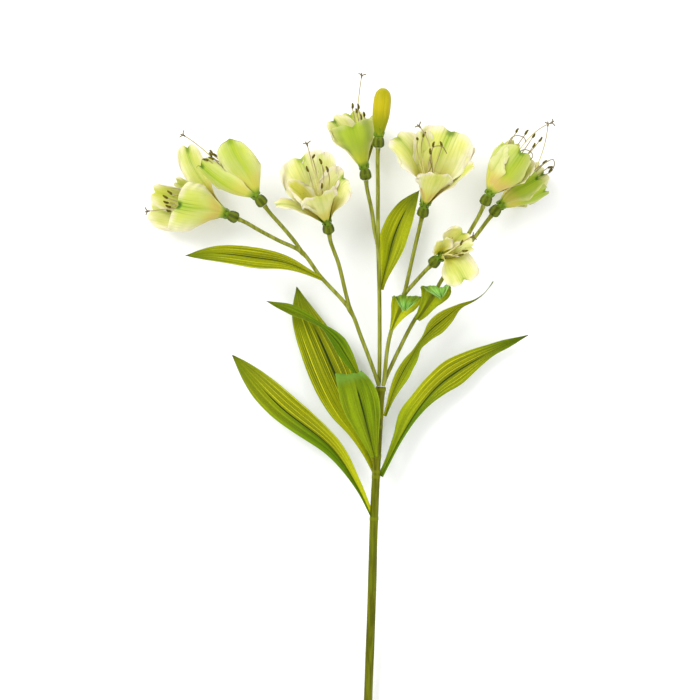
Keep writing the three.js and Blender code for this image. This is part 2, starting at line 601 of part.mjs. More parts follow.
function stamenBody(flower) {
  const neck = vec(flower.neck);
  const axis = vec(flower.axis).normalize();
  const knobFoot = neck.clone().addScaledVector(axis, 3 + GAP);
  const knobTop = neck.clone().addScaledVector(axis, 5.5);
  const pieces = [turned(knobFoot, knobTop, [[0, KNOB_RADIUS], [1, KNOB_RADIUS * 0.8]], 6)];
  const footToward = (end) => {
    const off = end.clone().sub(neck);
    off.addScaledVector(axis, -off.dot(axis)).setLength(KNOB_RADIUS * 0.6);
    return neck.clone().addScaledVector(axis, 4.4).add(off);
  };
  for (const place of flower.stamens) {
    const end = vec(place).add(neck);
    const tip = anther.map(([share, radius]) => {
      const centre = end.clone().addScaledVector(axis, share * ANTHER_LENGTH);
      return ring(centre, axis, radius * ANTHER_RADIUS, 3);
    });
    pieces.push(loft([...threadRings(footToward(end), axis, end), ...tip]));
  }
  const split = vec(flower.style.split).add(neck);
  const heading = vec(flower.style.heading).normalize();
  const styleFoot = neck.clone().addScaledVector(axis, 4.4);
  pieces.push(loft(threadRings(styleFoot, axis, split, heading)));
  const side = new THREE.Vector3().crossVectors(heading, UP).normalize();
  const back = split.clone().addScaledVector(heading, -0.8);
  for (const turn of [20, 140, 260]) {
    const spread = side.clone().applyAxisAngle(heading, radians(turn));
    const end = split.clone()
      .addScaledVector(heading, STIGMA_BRANCH * 0.6)
      .addScaledVector(spread, STIGMA_BRANCH * 0.8);
    pieces.push(turned(back, end, [[0, FILAMENT_RADIUS], [1, FILAMENT_RADIUS]], 3));
  }
  return largest(union(pieces));
}

// The ribbed ovary under a flower, which stands on its ray and ends in a flat rim under the neck.
const ovaryProfile = [[0, 0.5], [0.22, 1], [0.75, 0.92], [1, 0.66]];
const OVARY_RADIUS = 4.4;
const OVARY_LENGTH = 9;
const OVARY_SIDES = 10;
const OVARY_DROP = 1.2 + GAP; // from a flower's neck down to its ovary's rim

// The two ends of the ovary under a neck: its foot on the ray, and its rim.
function ovaryEnds(flower) {
  const heading = vec(flower.ovary).normalize();
  const rim = vec(flower.neck).addScaledVector(vec(flower.axis).normalize(), -OVARY_DROP);
  return { foot: rim.clone().addScaledVector(heading, -OVARY_LENGTH), rim, heading };
}

// It bends a little on its way up, so that its rim faces the flower squarely.
function ovaryBody(flower) {
  const { foot, rim, heading } = ovaryEnds(flower);
  const axis = vec(flower.axis).normalize();
  const rings = ovaryProfile.map(([share, radius]) => {
    const facing = heading.clone().lerp(axis, share).normalize();
    return ring(foot.clone().lerp(rim, share), facing, radius * OVARY_RADIUS, OVARY_SIDES, 0.1);
  });
  return solid(loft(rings));
}

// ---------------------------------------------------------------- the bud

const bud = { neck: [-1.9, 200.2, 59], axis: [0.1, 0.99, 0.05], ovary: [0.05, 1, 0.08], length: 36.8 };
const budProfile = [
  [0, 3.3], [0.1, 4.1], [0.22, 5.2], [0.44, 6.8], [0.6, 7.1], [0.73, 7.05], [0.86, 6.3], [0.95, 4.4],
  [1, 1.8],
];

function budBody() {
  const neck = vec(bud.neck);
  const axis = vec(bud.axis).normalize();
  const foot = neck.clone().addScaledVector(axis, GAP - OVARY_DROP);
  return solid(turned(foot, neck.clone().addScaledVector(axis, bud.length), budProfile, 10));
}

// ---------------------------------------------------------------- the parts

const root = new THREE.Group();
const finish = {
  stem: { color: 0x7d8a2e, roughness: 0.6 },
  leaf: { color: 0x98a81c, roughness: 0.55 },
  tepal: { color: 0xdfe8a6, roughness: 0.7 },
  stamen: { color: 0x8a6a3a, roughness: 0.7 },
  ovary: { color: 0x5f7a22, roughness: 0.6 },
  bud: { color: 0xc3b53a, roughness: 0.55 },
};

function part(name, body, look) {
  const material = new THREE.MeshStandardMaterial({ ...finish[look], metalness: 0 });
  const mesh = new THREE.Mesh(geometryOf(body), material);
  mesh.name = name;
  root.add(mesh);
}

part("stem", stem, "stem");
const clearances = { stem: stemClearance };
for (const [name, branches] of Object.entries(rays)) {
  part(`ray_${name}`, rayBody(branches), "stem");
  clearances[name] = rayBody(branches, GAP);
}
for (const [name, leaf] of Object.entries(leaves)) {
  const rows = steps(leaf.foldLine ? FOLDED_ROWS : LEAF_ROWS);
  const geometry = blade(leafSurface(leaf), rows, leafColumns, LEAF_THICKNESS);
  part(name, largest(solid(geometry).subtract(clearances[leaf.on])), "leaf");
}
for (const [letter, flower] of Object.entries(flowers)) {
  part(`flower_${letter}_ovary`, ovaryBody(flower), "ovary");
  part(`flower_${letter}_tepals`, tepalBody(flower), "tepal");
  part(`flower_${letter}_stamens`, stamenBody(flower), "stamen");
}
part("bud_ovary", ovaryBody(bud), "ovary");
part("bud", budBody(), "bud");

root.position.set(-MIDDLE[0], -MIDDLE[1], 0);

export default root;
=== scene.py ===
import math

import bpy
import numpy as np
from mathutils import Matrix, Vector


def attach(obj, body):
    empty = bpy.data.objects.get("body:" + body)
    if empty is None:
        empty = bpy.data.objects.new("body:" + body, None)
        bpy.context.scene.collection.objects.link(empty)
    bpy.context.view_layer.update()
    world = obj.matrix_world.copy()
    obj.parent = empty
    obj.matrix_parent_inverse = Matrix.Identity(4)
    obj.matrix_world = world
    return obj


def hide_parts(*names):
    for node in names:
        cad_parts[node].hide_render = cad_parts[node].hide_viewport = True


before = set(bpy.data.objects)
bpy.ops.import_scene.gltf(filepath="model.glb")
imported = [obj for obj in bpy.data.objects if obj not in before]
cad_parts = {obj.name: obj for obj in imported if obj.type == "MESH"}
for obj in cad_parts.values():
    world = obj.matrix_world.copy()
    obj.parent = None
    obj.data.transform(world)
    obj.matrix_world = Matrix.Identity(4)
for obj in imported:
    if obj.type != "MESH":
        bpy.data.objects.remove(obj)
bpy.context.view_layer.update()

# A cut alstroemeria stem lying on a table. Every piece is worked out in millimetres from the middle
# of the collar's top, as the solids are, with heights from the table, and then put in the frame.
MM = 0.001
MIDDLE = np.array([-26.0, -48.0, 0.0])  # the frame's origin, from the collar
GAP = 0.3  # between pieces that touch on the plant
UP = np.array([0.0, 0.0, 1.0])


# ---- numbers and vectors


def vec(values):
    return np.array(values, float)


def unit(v):
    return v / np.maximum(np.linalg.norm(v, axis=-1, keepdims=True), 1e-12)


def mix(a, b, t):
    return a + (b - a) * t


def ramp(low, high, x):
    t = np.clip((np.asarray(x, float) - low) / (high - low), 0, 1)
    return t * t * (3 - 2 * t)


def along(values, t):
    """A value at t, from 0 to 1, of numbers spread evenly along a line."""
    return np.interp(np.clip(t, 0, 1) * (len(values) - 1), range(len(values)), values)


def curve_along(values, t):
    """As along, but smooth from number to number."""
    place = np.clip(t, 0, 1) * (len(values) - 1)
    at = np.minimum(place.astype(int), len(values) - 2)
    v = vec([2 * values[0] - values[1], *values, 2 * values[-1] - values[-2]])
    a, b, c, d = v[at], v[at + 1], v[at + 2], v[at + 3]
    w = place - at
    bend = (2 * a - 5 * b + 4 * c - d) * w**2 + (3 * (b - c) + d - a) * w**3
    return b + ((c - a) * w + bend) / 2


def turned_about(v, axis, angle):
    """v turned about unit axes by angles, by the right-hand rule. All three may be arrays."""
    cos, sin = np.cos(angle)[..., None], np.sin(angle)[..., None]
    dot = np.sum(axis * v, axis=-1, keepdims=True)
    return v * cos + np.cross(axis, v) * sin + axis * dot * (1 - cos)


def smooth_line(points, per_span):
    """Places on a centripetal Catmull-Rom curve through points, as many for each span."""
    p = vec(points)
    p = np.vstack([2 * p[0] - p[1], p, 2 * p[-1] - p[-2]])
    w = np.linspace(0, 1, per_span + 1)[:, None]
    spans = []
    for a, b, c, d in zip(p, p[1:], p[2:], p[3:]):
        t0, t1, t2 = (np.linalg.norm(q - r) ** 0.5 for q, r in ((b, a), (c, b), (d, c)))
        start = ((b - a) / t0 - (c - a) / (t0 + t1) + (c - b) / t1) * t1
        end = ((c - b) / t1 - (d - b) / (t1 + t2) + (d - c) / t2) * t1
        span = b + start * w + (3 * (c - b) - 2 * start - end) * w**2
        spans.append((span + (2 * (b - c) + start + end) * w**3)[:-1])
    return np.vstack(spans + [p[-2][None]])


def bezier(a, b, c, d, t):
    t = np.asarray(t)[..., None]
    return a * (1 - t) ** 3 + 3 * b * t * (1 - t) ** 2 + 3 * c * t**2 * (1 - t) + d * t**3


def bezier_heading(a, b, c, d, t):
    t = np.clip(t, 0.001, 0.999)[..., None]
    return unit((b - a) * (1 - t) ** 2 + 2 * (c - b) * t * (1 - t) + (d - c) * t**2)


# ---- meshes

# A part of a piece is its vertices in millimetres, its faces, and numbers for each vertex that the
# materials read.


def tube(line, radii, sides, share=None, ribs=0.0, rib_count=6, **marks):
    """A closed stalk along a line. A radius, and if need be a mark, is given for each place."""
    line, radii = vec(line), vec(radii)
    ahead = unit(np.gradient(line, axis=0))
    side = unit(np.cross(UP, ahead[0]) + 1e-9 * vec([1, 0, 0]))
    sides_at = []
    for direction in ahead:
        side = unit(side - np.dot(side, direction) * direction)
        sides_at.append(side)
    side = np.array(sides_at)[:, None]
    other = np.cross(ahead, side[:, 0])[:, None]
    turn = np.linspace(0, 2 * np.pi, sides, endpoint=False)[None, :, None]
    wave = np.cos(turn * rib_count)
    reach = radii[:, None, None] * (1 + ribs * wave)
    grid = line[:, None] + reach * (np.cos(turn) * side + np.sin(turn) * other)
    n = len(line)
    at = np.arange(n * sides).reshape(n, sides)
    beside = np.roll(at, -1, axis=1)
    faces = np.stack([at[:-1], beside[:-1], beside[1:], at[1:]], -1).reshape(-1, 4).tolist()
    faces += [at[0, ::-1].tolist(), at[-1].tolist()]
    marks["along"] = np.linspace(0, 1, n) if share is None else share
    marks = {name: np.repeat(np.broadcast_to(at_line, n), sides) for name, at_line in marks.items()}
    marks["across"] = np.tile(wave.ravel(), n)
    return grid.reshape(-1, 3), faces, marks


def turned_tube(foot, axis, outline, sides, share=None):
    """A tube about an axis through foot. Its outline is each ring's place along it and radius."""
    rises, radii = np.transpose(outline)
    return tube(foot + np.outer(rises, axis), radii, sides, share)


def blade_places(rows, columns):
    """Places of a blade's grid: how far along it, from 0 to 1, and across it, from -1 to 1."""
    across = np.sin(np.linspace(-np.pi / 2, np.pi / 2, columns))
    return np.meshgrid(np.linspace(0, 1, rows), across, indexing="ij")


def blade(grid, thickness, u, s, **marks):
    """A thin closed blade over a grid of places. It lies flat where it would dip into the table."""
    rows, columns = grid.shape[:2]
    normal = unit(np.cross(np.gradient(grid, axis=0), np.gradient(grid, axis=1)))
    half = normal * (thickness[..., None] / 2)
    faces_at = [grid + half, grid - half]
    lift = np.maximum(0, -np.minimum(faces_at[0][..., 2], faces_at[1][..., 2]))
    for face in faces_at:
        face[..., 2] += lift
    at = np.arange(rows * columns).reshape(rows, columns)
    quads = np.stack([at[:-1, :-1], at[1:, :-1], at[1:, 1:], at[:-1, 1:]], -1).reshape(-1, 4)
    count = rows * columns
    faces = np.vstack([quads, quads[:, ::-1] + count]).tolist()
    rim = np.concatenate([at[0, :-1], at[:-1, -1], at[-1, :0:-1], at[:0:-1, 0]])
    following = np.roll(rim, -1)
    faces += np.stack([rim, following, following + count, rim + count], -1).tolist()
    points = np.concatenate([face.reshape(-1, 3) for face in faces_at])
    marks.update(along=u, across=s)
    marks = {name: np.tile(np.broadcast_to(on, u.shape).ravel(), 2) for name, on in marks.items()}
    marks["face"] = np.repeat([1.0, 0.0], count)
    return points, faces, marks


def add(name, data):
    made = bpy.data.objects.new(name, data)
    bpy.context.scene.collection.objects.link(made)
    return made


def piece(node, parts, materials, kinds=None):
    """One object, to stand for a CAD node. kinds says which of the materials each part has."""
    kinds = kinds or [0] * len(parts)
    points, faces, indices = [], [], []
    marks = {name: [] for name in sorted({name for part in parts for name in part[2]})}
    start = 0
    for (vertices, polygons, numbers), kind in zip(parts, kinds):
        points.append(vertices)
        faces += [[corner + start for corner in polygon] for polygon in polygons]
        indices += [kind] * len(polygons)
        for name, values in marks.items():
            values.append(numbers.get(name, np.zeros(len(vertices))))
        start += len(vertices)
    mesh = bpy.data.meshes.new(f"{node}_fine")
    mesh.from_pydata(((np.vstack(points) - MIDDLE) * MM).tolist(), [], faces)
    for material in materials:
        mesh.materials.append(material)
    mesh.polygons.foreach_set("material_index", indices)
    mesh.polygons.foreach_set("use_smooth", [True] * len(faces))
    for name, values in marks.items():
        layer = mesh.attributes.new(name, "FLOAT", "POINT")
        layer.data.foreach_set("value", np.concatenate(values).astype(np.float32))
    mesh.update()
    made = add(mesh.name, mesh)
    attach(made, "root")
    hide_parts(node)


# ---- materials

# Colours are given as a screen shows them.


def linear(colour):
    values = [c / 12.92 if c <= 0.04045 else ((c + 0.055) / 1.055) ** 2.4 for c in colour]
    return (*values, 1.0)


class Look:
    """A procedural material, wired up from the numbers that its mesh carries and from noise."""

    def __init__(self, name, roughness, subsurface=0, scatter=(1, 1, 1), reach=0.001,
                 gloss=0.2):
        self.material = bpy.data.materials.new(name)
        self.material.use_nodes = True
        self.nodes = self.material.node_tree.nodes
        self.links = self.material.node_tree.links
        self.shader = self.nodes["Principled BSDF"]
        settings = {
            "Roughness": roughness, "Specular IOR Level": gloss, "Subsurface Weight": subsurface,
            "Subsurface Radius": scatter, "Subsurface Scale": reach,
        }
        for socket, value in settings.items():
            self.shader.inputs[socket].default_value = value

    def put(self, socket, value):
        """Links a socket to another node's, or sets it to a number or colour."""
        if isinstance(value, bpy.types.NodeSocket):
            self.links.new(value, socket)
        else:
            socket.default_value = value

    def marks(self, *names):
        found = []
        for name in names:
            node = self.nodes.new("ShaderNodeAttribute")
            node.attribute_name = name
            found.append(node.outputs["Fac"])
        return found

    def maths(self, operation, a, b=0, c=0):
        node = self.nodes.new("ShaderNodeMath")
        node.operation = operation
        for socket, value in zip(node.inputs, (a, b, c)):
            self.put(socket, value)
        return node.outputs[0]

    def step(self, value, low, high, at_low=0, at_high=1):
        """A smooth step of value from low to high."""
        node = self.nodes.new("ShaderNodeMapRange")
        node.interpolation_type = "SMOOTHSTEP"
        for socket, number in zip(node.inputs, (value, low, high, at_low, at_high)):
            self.put(socket, number)
        return node.outputs[0]

    def times(self, *factors):
        """The product of marks, noises and numbers. A tuple holds the numbers of a smooth step."""
        product = None
        for factor in factors:
            factor = self.step(*factor) if isinstance(factor, tuple) else factor
            product = factor if product is None else self.maths("MULTIPLY", product, factor)
        return product

    def scaled(self, value, factor, base):
        """base + factor * value."""
        return self.maths("MULTIPLY_ADD", value, factor, base)

    def swayed(self, value, noise, sway):
        """A value moved up and down by noise."""
        return self.scaled(self.maths("SUBTRACT", noise, 0.5), sway, value)

    def blend(self, a, b, *factors):
        """Colour a where the product of the factors is 0, and colour b where it is 1."""
        node = self.nodes.new("ShaderNodeMix")
        node.data_type = "RGBA"
        self.put(node.inputs[0], self.times(*factors))
        self.put(node.inputs[6], linear(a) if isinstance(a, tuple) else a)
        self.put(node.inputs[7], linear(b) if isinstance(b, tuple) else b)
        return node.outputs[2]

    def paint(self, colour, *factors):
        """Lays a colour over those laid before it."""
        self.colour = self.blend(self.colour, colour, *factors)

    def noise_at(self, place, scale, detail):
        node = self.nodes.new("ShaderNodeTexNoise")
        node.inputs["Scale"].default_value = scale
        node.inputs["Detail"].default_value = detail
        self.links.new(place, node.inputs["Vector"])
        return node.outputs["Fac"]

    def noise(self, scale, detail, stretch=(1, 1, 1)):
        place = self.nodes.new("ShaderNodeTexCoord")
        mapping = self.nodes.new("ShaderNodeMapping")
        mapping.inputs["Scale"].default_value = stretch
        self.links.new(place.outputs["Object"], mapping.inputs["Vector"])
        return self.noise_at(mapping.outputs[0], scale, detail)

    def streaks(self, across, along, seed, count, length, detail=2):
        """Noise drawn out along a blade, from the marks that say where on it a point lies."""
        place = self.nodes.new("ShaderNodeCombineXYZ")
        for socket, mark, factor in zip(place.inputs, (across, along, seed), (count, length, 3.7)):
            self.put(socket, self.times(mark, factor))
        return self.noise_at(place.outputs[0], 1, detail)

    def lines(self, value, count, width, wobble, sway):
        """Thin lines at even steps of value, moved by noise: 1 on a line and 0 between two."""
        value = self.times(self.swayed(value, wobble, sway), count)
        return self.step(self.maths("PINGPONG", value, 0.5), width, 0.3 * width)

    def finish(self, height=None, depth=0.0003, roughness=None):
        self.put(self.shader.inputs["Base Color"], self.colour)
        if roughness is not None:
            self.put(self.shader.inputs["Roughness"], roughness)
        if height is not None:
            bump = self.nodes.new("ShaderNodeBump")
            bump.inputs["Distance"].default_value = depth
            bump.inputs["Strength"].default_value = 0.6
            self.links.new(height, bump.inputs["Height"])
            self.links.new(bump.outputs[0], self.shader.inputs["Normal"])
        return self.material


def leaf_look():
    look = Look("leaf", 0.5, 0.2, (1, 1, 0.2), 0.0008, gloss=0.08)
    blend, paint, times = look.blend, look.paint, look.times
    u, s, green, pale, ridge = look.marks("along", "across", "green", "pale", "ridge")
    seed, face = look.marks("seed", "face")
    off = look.maths("ABSOLUTE", s)
    broad = look.streaks(s, u, seed, 3, 1.6)
    close = look.streaks(s, u, seed, 15, 0.7, 3)
    grain = look.noise(700, 2)
    patches = (broad, 0.35, 0.65)
    # main and fine veins over gold and grass green
    place = look.maths("ADD", s, times(seed, 0.173))
    main = times(look.lines(place, 4, 0.075, broad, 0.1), (close, 0.32, 0.52, 0.2, 1))
    fine = times(look.lines(place, 13, 0.15, close, 0.05), 0.4)
    veins = look.maths("MAXIMUM", main, fine)
    gold = blend((0.38, 0.42, 0), (0.52, 0.54, 0), patches)
    gold = blend(gold, (0.86, 0.84, 0.16), veins)
    grass = blend((0.25, 0.37, 0), (0.38, 0.50, 0), patches)
    grass = blend(grass, (0.60, 0.70, 0.10), veins, 0.35)
    # gold turns to the darker grass green with the green mark: partly the leaf's own colour and
    # partly painted shade on a half that turns away from the light
    look.colour = blend(gold, grass, (look.swayed(green, broad, 0.7), 0, 1))
    paint(blend((0.60, 0.64, 0.02), (0.74, 0.76, 0.10), patches), pale)
    paint((0.50, 0.72, 0.30), (green, 1, 1.3))
    paint((0.26, 0.30, 0.02), (grain, 0.45, 0.8), 0.25)
    # a dark line of painted shade in the midrib's groove, more painted shade beside it,
    # and the raised rib of a curled leaf
    paint((0.10, 0.16, 0), (off, 0.075, 0.025), (u, 0.85, 0.7), (broad, 0.3, 0.5, 0.5, 1))
    paint((0.20, 0.27, 0), (off, 0.3, 0.04), (u, 0.8, 0.5), 0.4)
    paint((0.38, 0.41, 0.03), (off, 0.3, 0.12), (u, 0.6, 0.45), ridge)
    # the pale margin and the darker end, with its tip dark, or mint where the leaf is greenest
    paint((0.66, 0.74, 0.24), (off, 0.955, 1), (u, 0.05, 0.3), 0.45)
    paint((0.31, 0.38, 0.01), (u, 0.68, 0.95), 0.6)
    tip = blend((0.28, 0.27, 0.05), (0.62, 0.80, 0.46), (green, 0.94, 1))
    paint(tip, (u, 0.955, 1), 0.7)
    # the underside, mint where the leaf is greenest
    back = blend((0.30, 0.40, 0.04), (0.42, 0.53, 0.10), patches)
    back = blend(back, (0.60, 0.68, 0.24), veins, 0.5)
    back = blend(back, (0.62, 0.70, 0.26), (off, 0.09, 0.02), 0.7)
    back = blend(back, (0.46, 0.64, 0.20), (green, 0.7, 1.2), (off, 0.75, 0.15))
    mint = blend((0.44, 0.68, 0.24), (0.64, 0.82, 0.46), (close, 0.35, 0.6))
    paint(blend(back, mint, (green, 0.85, 1.15), 0.85), face)
    relief = look.scaled(close, 0.8, times(grain, 0.15))
    return look.finish(relief, 0.0006, look.step(broad, 0.3, 0.7, 0.42, 0.6))


def tepal_look():
    look = Look("tepal", 0.65, 0.3, (1, 0.95, 0.5), 0.001)
    blend, paint, times = look.blend, look.paint, look.times
    u, s, face, green, blush = look.marks("along", "across", "face", "green", "blush")
    yellow, tipped, flecked, rim = look.marks("yellow", "tipped", "flecked", "rim")
    hemmed, seed = look.marks("hemmed", "seed")
    off = look.maths("ABSOLUTE", s)
    broad = look.streaks(s, u, seed, 2.2, 1.3)
    close = look.streaks(s, u, seed, 7, 1)
    soft = look.noise(45, 3)
    # cream, with a broad yellow-green flame up the middle
    look.colour = blend((0.85, 0.84, 0.60), (0.81, 0.81, 0.46), (soft, 0.35, 0.65))
    flame = times((off, 0.75, 0.1), (broad, 0.3, 0.6, 0.4, 1), (u, 0.1, 0.5, 0.5, 0.9))
    paint((0.70, 0.73, 0.18), flame, look.scaled(green, 1.2, 0.38))
    lime = blend((0.50, 0.60, 0.09), (0.63, 0.71, 0.20), (broad, 0.3, 0.7))
    paint(lime, green, (off, 1, 0.5, 0.45, 1))
    # the yellow throat
    throat = look.scaled(yellow, 0.8, look.step(u, 0.55, 0.12, 0, 0.75))
    throat = times(throat, look.scaled(green, -0.6, 1))
    paint((0.80, 0.77, 0.15), throat, (off, 1, 0.55, 0.35, 1))
    # pale margins, faintly pink, and fine veins
    sides = times((off, 0.55, 0.97), (u, 0.15, 0.55))
    margin = look.maths("MAXIMUM", sides, times((u, 0.86, 1), (off, 0.12, 0.4)))
    rose = blend((0.89, 0.87, 0.74), (0.88, 0.82, 0.78), (broad, 0.35, 0.6))
    paint(rose, margin, look.scaled(green, -0.7, 0.8), rim)
    vein = look.maths("ABSOLUTE", look.maths("SUBTRACT", close, 0.5))
    paint((0.60, 0.68, 0.14), (vein, 0.07, 0), (u, 0.05, 0.4, 0.45, 0.22))
    # peach above the foot, then the keel and the green foot itself
    paint((0.76, 0.66, 0.36), (u, 0.06, 0.2), (u, 0.5, 0.2), blush, (broad, 0.25, 0.5))
    keel = times((off, 0.13, 0), (u, 0.15, 0.85, 0.15, 0.6))
    paint((0.50, 0.62, 0.06), keel, (tipped, 0, 1, 0.3, 1))
    paint((0.40, 0.53, 0.12), (u, 0.15, 0.03), 0.85)
    # short dark flecks inside the inner tepals
    dash = times((look.streaks(s, u, seed, 15, 9, 1), 0.66, 0.7), flecked, face)
    paint((0.42, 0.26, 0.10), dash, (u, 0.3, 0.4), (u, 0.85, 0.7), (off, 0.6, 0.3), 0.7)
    # the green spot at a notched tip, with a glow and dark strands below it
    paint((0.50, 0.66, 0.08), (u, 0.62, 0.95), (off, 0.3, 0.05), tipped, 0.5)
    paint((0.20, 0.34, 0.02), (u, 0.87, 0.96), (off, 0.24, 0.06), tipped, 0.9)
    strands = times(look.lines(s, 8, 0.2, close, 0.12), (off, 0.42, 0.12), (u, 0.42, 0.85))
    paint((0.34, 0.46, 0.03), strands, tipped, 0.55)
    # a thin dark hem
    hem = look.maths("MAXIMUM", times((off, 0.975, 1), (u, 0.6, 0.8)), look.step(u, 0.985, 1))
    paint((0.30, 0.28, 0.08), hem, hemmed)
    relief = look.scaled(close, 0.7, times(soft, 0.5))
    return look.finish(relief, 0.0005, look.step(broad, 0.3, 0.7, 0.55, 0.7))


def stalk_look():
    look = Look("stalk", 0.5, 0.12, (0.8, 1, 0.3), 0.0008, gloss=0.08)
    pale, joint = look.marks("pale", "joint")
    streaks = look.noise(1, 3, (500, 14, 500))
    look.colour = look.blend((0.29, 0.30, 0), (0.42, 0.43, 0.05), (streaks, 0.35, 0.65))
    look.paint((0.37, 0.42, 0.02), (look.noise(35, 3), 0.45, 0.75), 0.5)
    look.paint(look.blend((0.45, 0.47, 0.12), (0.58, 0.60, 0.25), (streaks, 0.35, 0.65)), pale)
    look.paint((0.36, 0.30, 0.12), (look.noise(420, 1), 0.7, 0.76), 0.5)
    look.paint((0.46, 0.50, 0.05), (joint, 0.2, 0.9), 0.5)
    return look.finish(streaks, 0.0003, look.step(streaks, 0.3, 0.7, 0.42, 0.6))


def cut_look():
    look = Look("cut_end", 0.7)
    bundles = look.noise(1500, 2)
    look.colour = look.blend((0.78, 0.80, 0.58), (0.62, 0.68, 0.40), (bundles, 0.45, 0.6))
    look.paint((0.45, 0.52, 0.18), (*look.marks("along"), 0.35, 0))
    return look.finish(bundles, 0.0002)


def ovary_look():
    look = Look("ovary", 0.42, 0.1, (0.6, 1, 0.3), 0.0006, gloss=0.1)
    u, rib = look.marks("along", "across")
    mottle = look.noise(300, 3)
    look.colour = look.blend((0.26, 0.30, 0.02), (0.37, 0.41, 0.05), (rib, -0.6, 0.8))
    look.paint((0.48, 0.54, 0.14), (mottle, 0.4, 0.75), 0.4)
    look.paint((0.40, 0.52, 0.10), (u, 0.85, 0.93), 0.85)
    return look.finish(mottle, 0.0002)


def bud_look():
    look = Look("bud", 0.42, 0.2, (1, 0.9, 0.3), 0.001, gloss=0.12)
    u, seam = look.marks("along", "across")
    fine = look.noise(1, 2, (700, 40, 700))
    look.colour = look.blend((0.47, 0.51, 0.01), (0.68, 0.63, 0.03), (u, 0.1, 0.65))
    look.paint((0.56, 0.56, 0.01), (look.noise(60, 3), 0.4, 0.7), 0.5)
    look.paint((0.72, 0.68, 0.10), (fine, 0.5, 0.7), 0.3)
    look.paint((0.50, 0.54, 0.08), (seam, -0.9, -1), 0.5)
    look.paint((0.60, 0.62, 0.16), (u, 0.93, 1), 0.5)
    return look.finish(fine, 0.0002)


def thread_look():
    look = Look("filament", 0.5, 0.2, (1, 0.7, 0.5), 0.0005)
    u, dark = look.marks("along", "dark")
    streaks = look.noise(900, 1)
    look.colour = look.blend((0.90, 0.88, 0.58), (0.62, 0.56, 0.40), (u, 0.4, 0.9))
    look.paint((0.28, 0.20, 0.06), dark)
    look.paint((0.58, 0.50, 0.32), (streaks, 0.4, 0.7), 0.15)
    return look.finish(streaks, 0.0001)


def anther_look():
    look = Look("anther", 0.65)
    grain = look.noise(1600, 3)
    look.colour = look.blend((0.27, 0.24, 0), (0.48, 0.44, 0.04), (grain, 0.35, 0.65))
    look.paint((0.15, 0.12, 0.01), (*look.marks("across"), -0.4, -1), 0.7)
    return look.finish(grain, 0.0003)


LEAF = leaf_look()
TEPAL, STALK, CUT, OVARY = tepal_look(), stalk_look(), cut_look(), ovary_look()
BUD, THREAD, ANTHER = bud_look(), thread_look(), anther_look()


# ---- flowers' places

# A flower has a neck, the axis that it opens along, the heading of its ovary, tepals, outer and
# inner by turns, and the anthers' places and the style's split, from the neck. All are the solids'
# own, but for B's two front tepals and its anthers, which lie a little otherwise, and the turn of
# H's first tepal. green, blush, yellow, tipped, rim and hemmed say how strongly those colours show.


def petal(tip, width, flare, **others):
    """A tepal that reaches its tip at an angle of flare, in degrees from the axis."""
    return dict(tip=tip, width=width, flare=flare, **others)


FLOWERS = {}
FLOWERS["a"] = dict(
    neck=[-124.1, 139, 27], axis=[-0.95, 0.28, 0.05], ovary=[-0.9, 0.42, -0.06],
    tepals=[
        petal([-40.5, 6.8, 17], 43, -5, axis=[-0.95, 0.3, 0.05], side=[0, 0, 1], lean=42, taper=0,
              round=0.08, skew=1.5, green=0.3, tipped=1),
        petal([-60.5, 18.5, -3], 28, 10, side=[0, 0.35, -0.94], taper=0.1, round=0.3, yellow=0.3),
        petal([-32, 56.5, -8], 20, 70, turn=75, taper=0, round=0.2, tipped=0.6),
        petal([-42, 27, -3], 24, 15, side=[0, 0.8, -0.6]),
        petal([-63, 4, -11], 36, 5, side=[0, -0.35, -0.94], taper=0.1, round=0.3, green=0.1),
        petal([-46.4, 6.4, -30.2], 26, -4, side=[0, 0, -1], hug=0.2),
    ],
    stamens=[[-46.5, 12, 6], [-46, 8.5, 3], [-44.5, 2, 1], [-43, 15, 9], [-44, 5, 5]],
    split=[-62, 2, 3], heading=[-1, -0.1, 0], green=0.2, blush=0.7,
)
FLOWERS["b"] = dict(
    neck=[-99.4, 152.5, 52], axis=[-0.8, 0.6, 0.05], ovary=[-0.6, 0.8, 0.1],
    tepals=[
        petal([-20.5, 42.5, 13], 30, -20, axis=[-0.2, 0.98, 0.05], side=[0, 0, 1], lean=35,
              hug=0.5, taper=0, round=0.4, notch=-1.5, tipped=0.4, rim=0.4),
        petal([-24, 34, -5], 22, -5, side=[0.54, 0.72, -0.4], lean=30),
        petal([-45.8, 25.8, 0.8], 28.5, -12, side=[-0.4, -0.53, 0.75], lean=38, hug=0.6,
              taper=0.15, tipped=0.8, rim=0.3),
        petal([-40, 24, -6], 20, -5, side=[-0.54, -0.72, -0.4], lean=26),
        petal([-27, 35, -9], 27.4, -10, side=[0, 0, -1], lean=36),
    ],
    stamens=[[-37.5, 27.5, 5], [-35, 30, 4.5], [-33, 28, 7], [-31, 30.5, 5], [-34.5, 32, 5.5]],
    split=[-56.9, 47.1, 2], heading=[-0.85, 0.5, 0], green=0.5, blush=0.3, hemmed=0.8,
)
FLOWERS["c"] = dict(
    neck=[-43.2, 131.7, 40], axis=[-0.25, 0.7, 0.66], ovary=[-0.15, 0.87, 0.42],
    tepals=[
        petal([-22, 53, 8], 45, 60, taper=0, tipped=0.4),
        petal([-6, 56, 11], 34, 45, taper=0.1),
        petal([16, 36, 16], 28, 100, turn=40, hug=0.1, taper=0, tipped=0.6),
        petal([-6, 20, 38], 33, 20, taper=0),
        petal([-42, 12.5, 22], 16, 85, hug=0.2, tipped=0.3),
        petal([-31, 29, 28], 29, 35, yellow=0.7),
    ],
    stamens=[[-11.2, 49, 30], [-4, 44.3, 32], [-4, 25, 33], [-14, 38, 36], [1, 38, 30]],
    split=[-15.2, 59, 32], heading=[-0.3, 1, 0], green=0.0, blush=0.4,
)
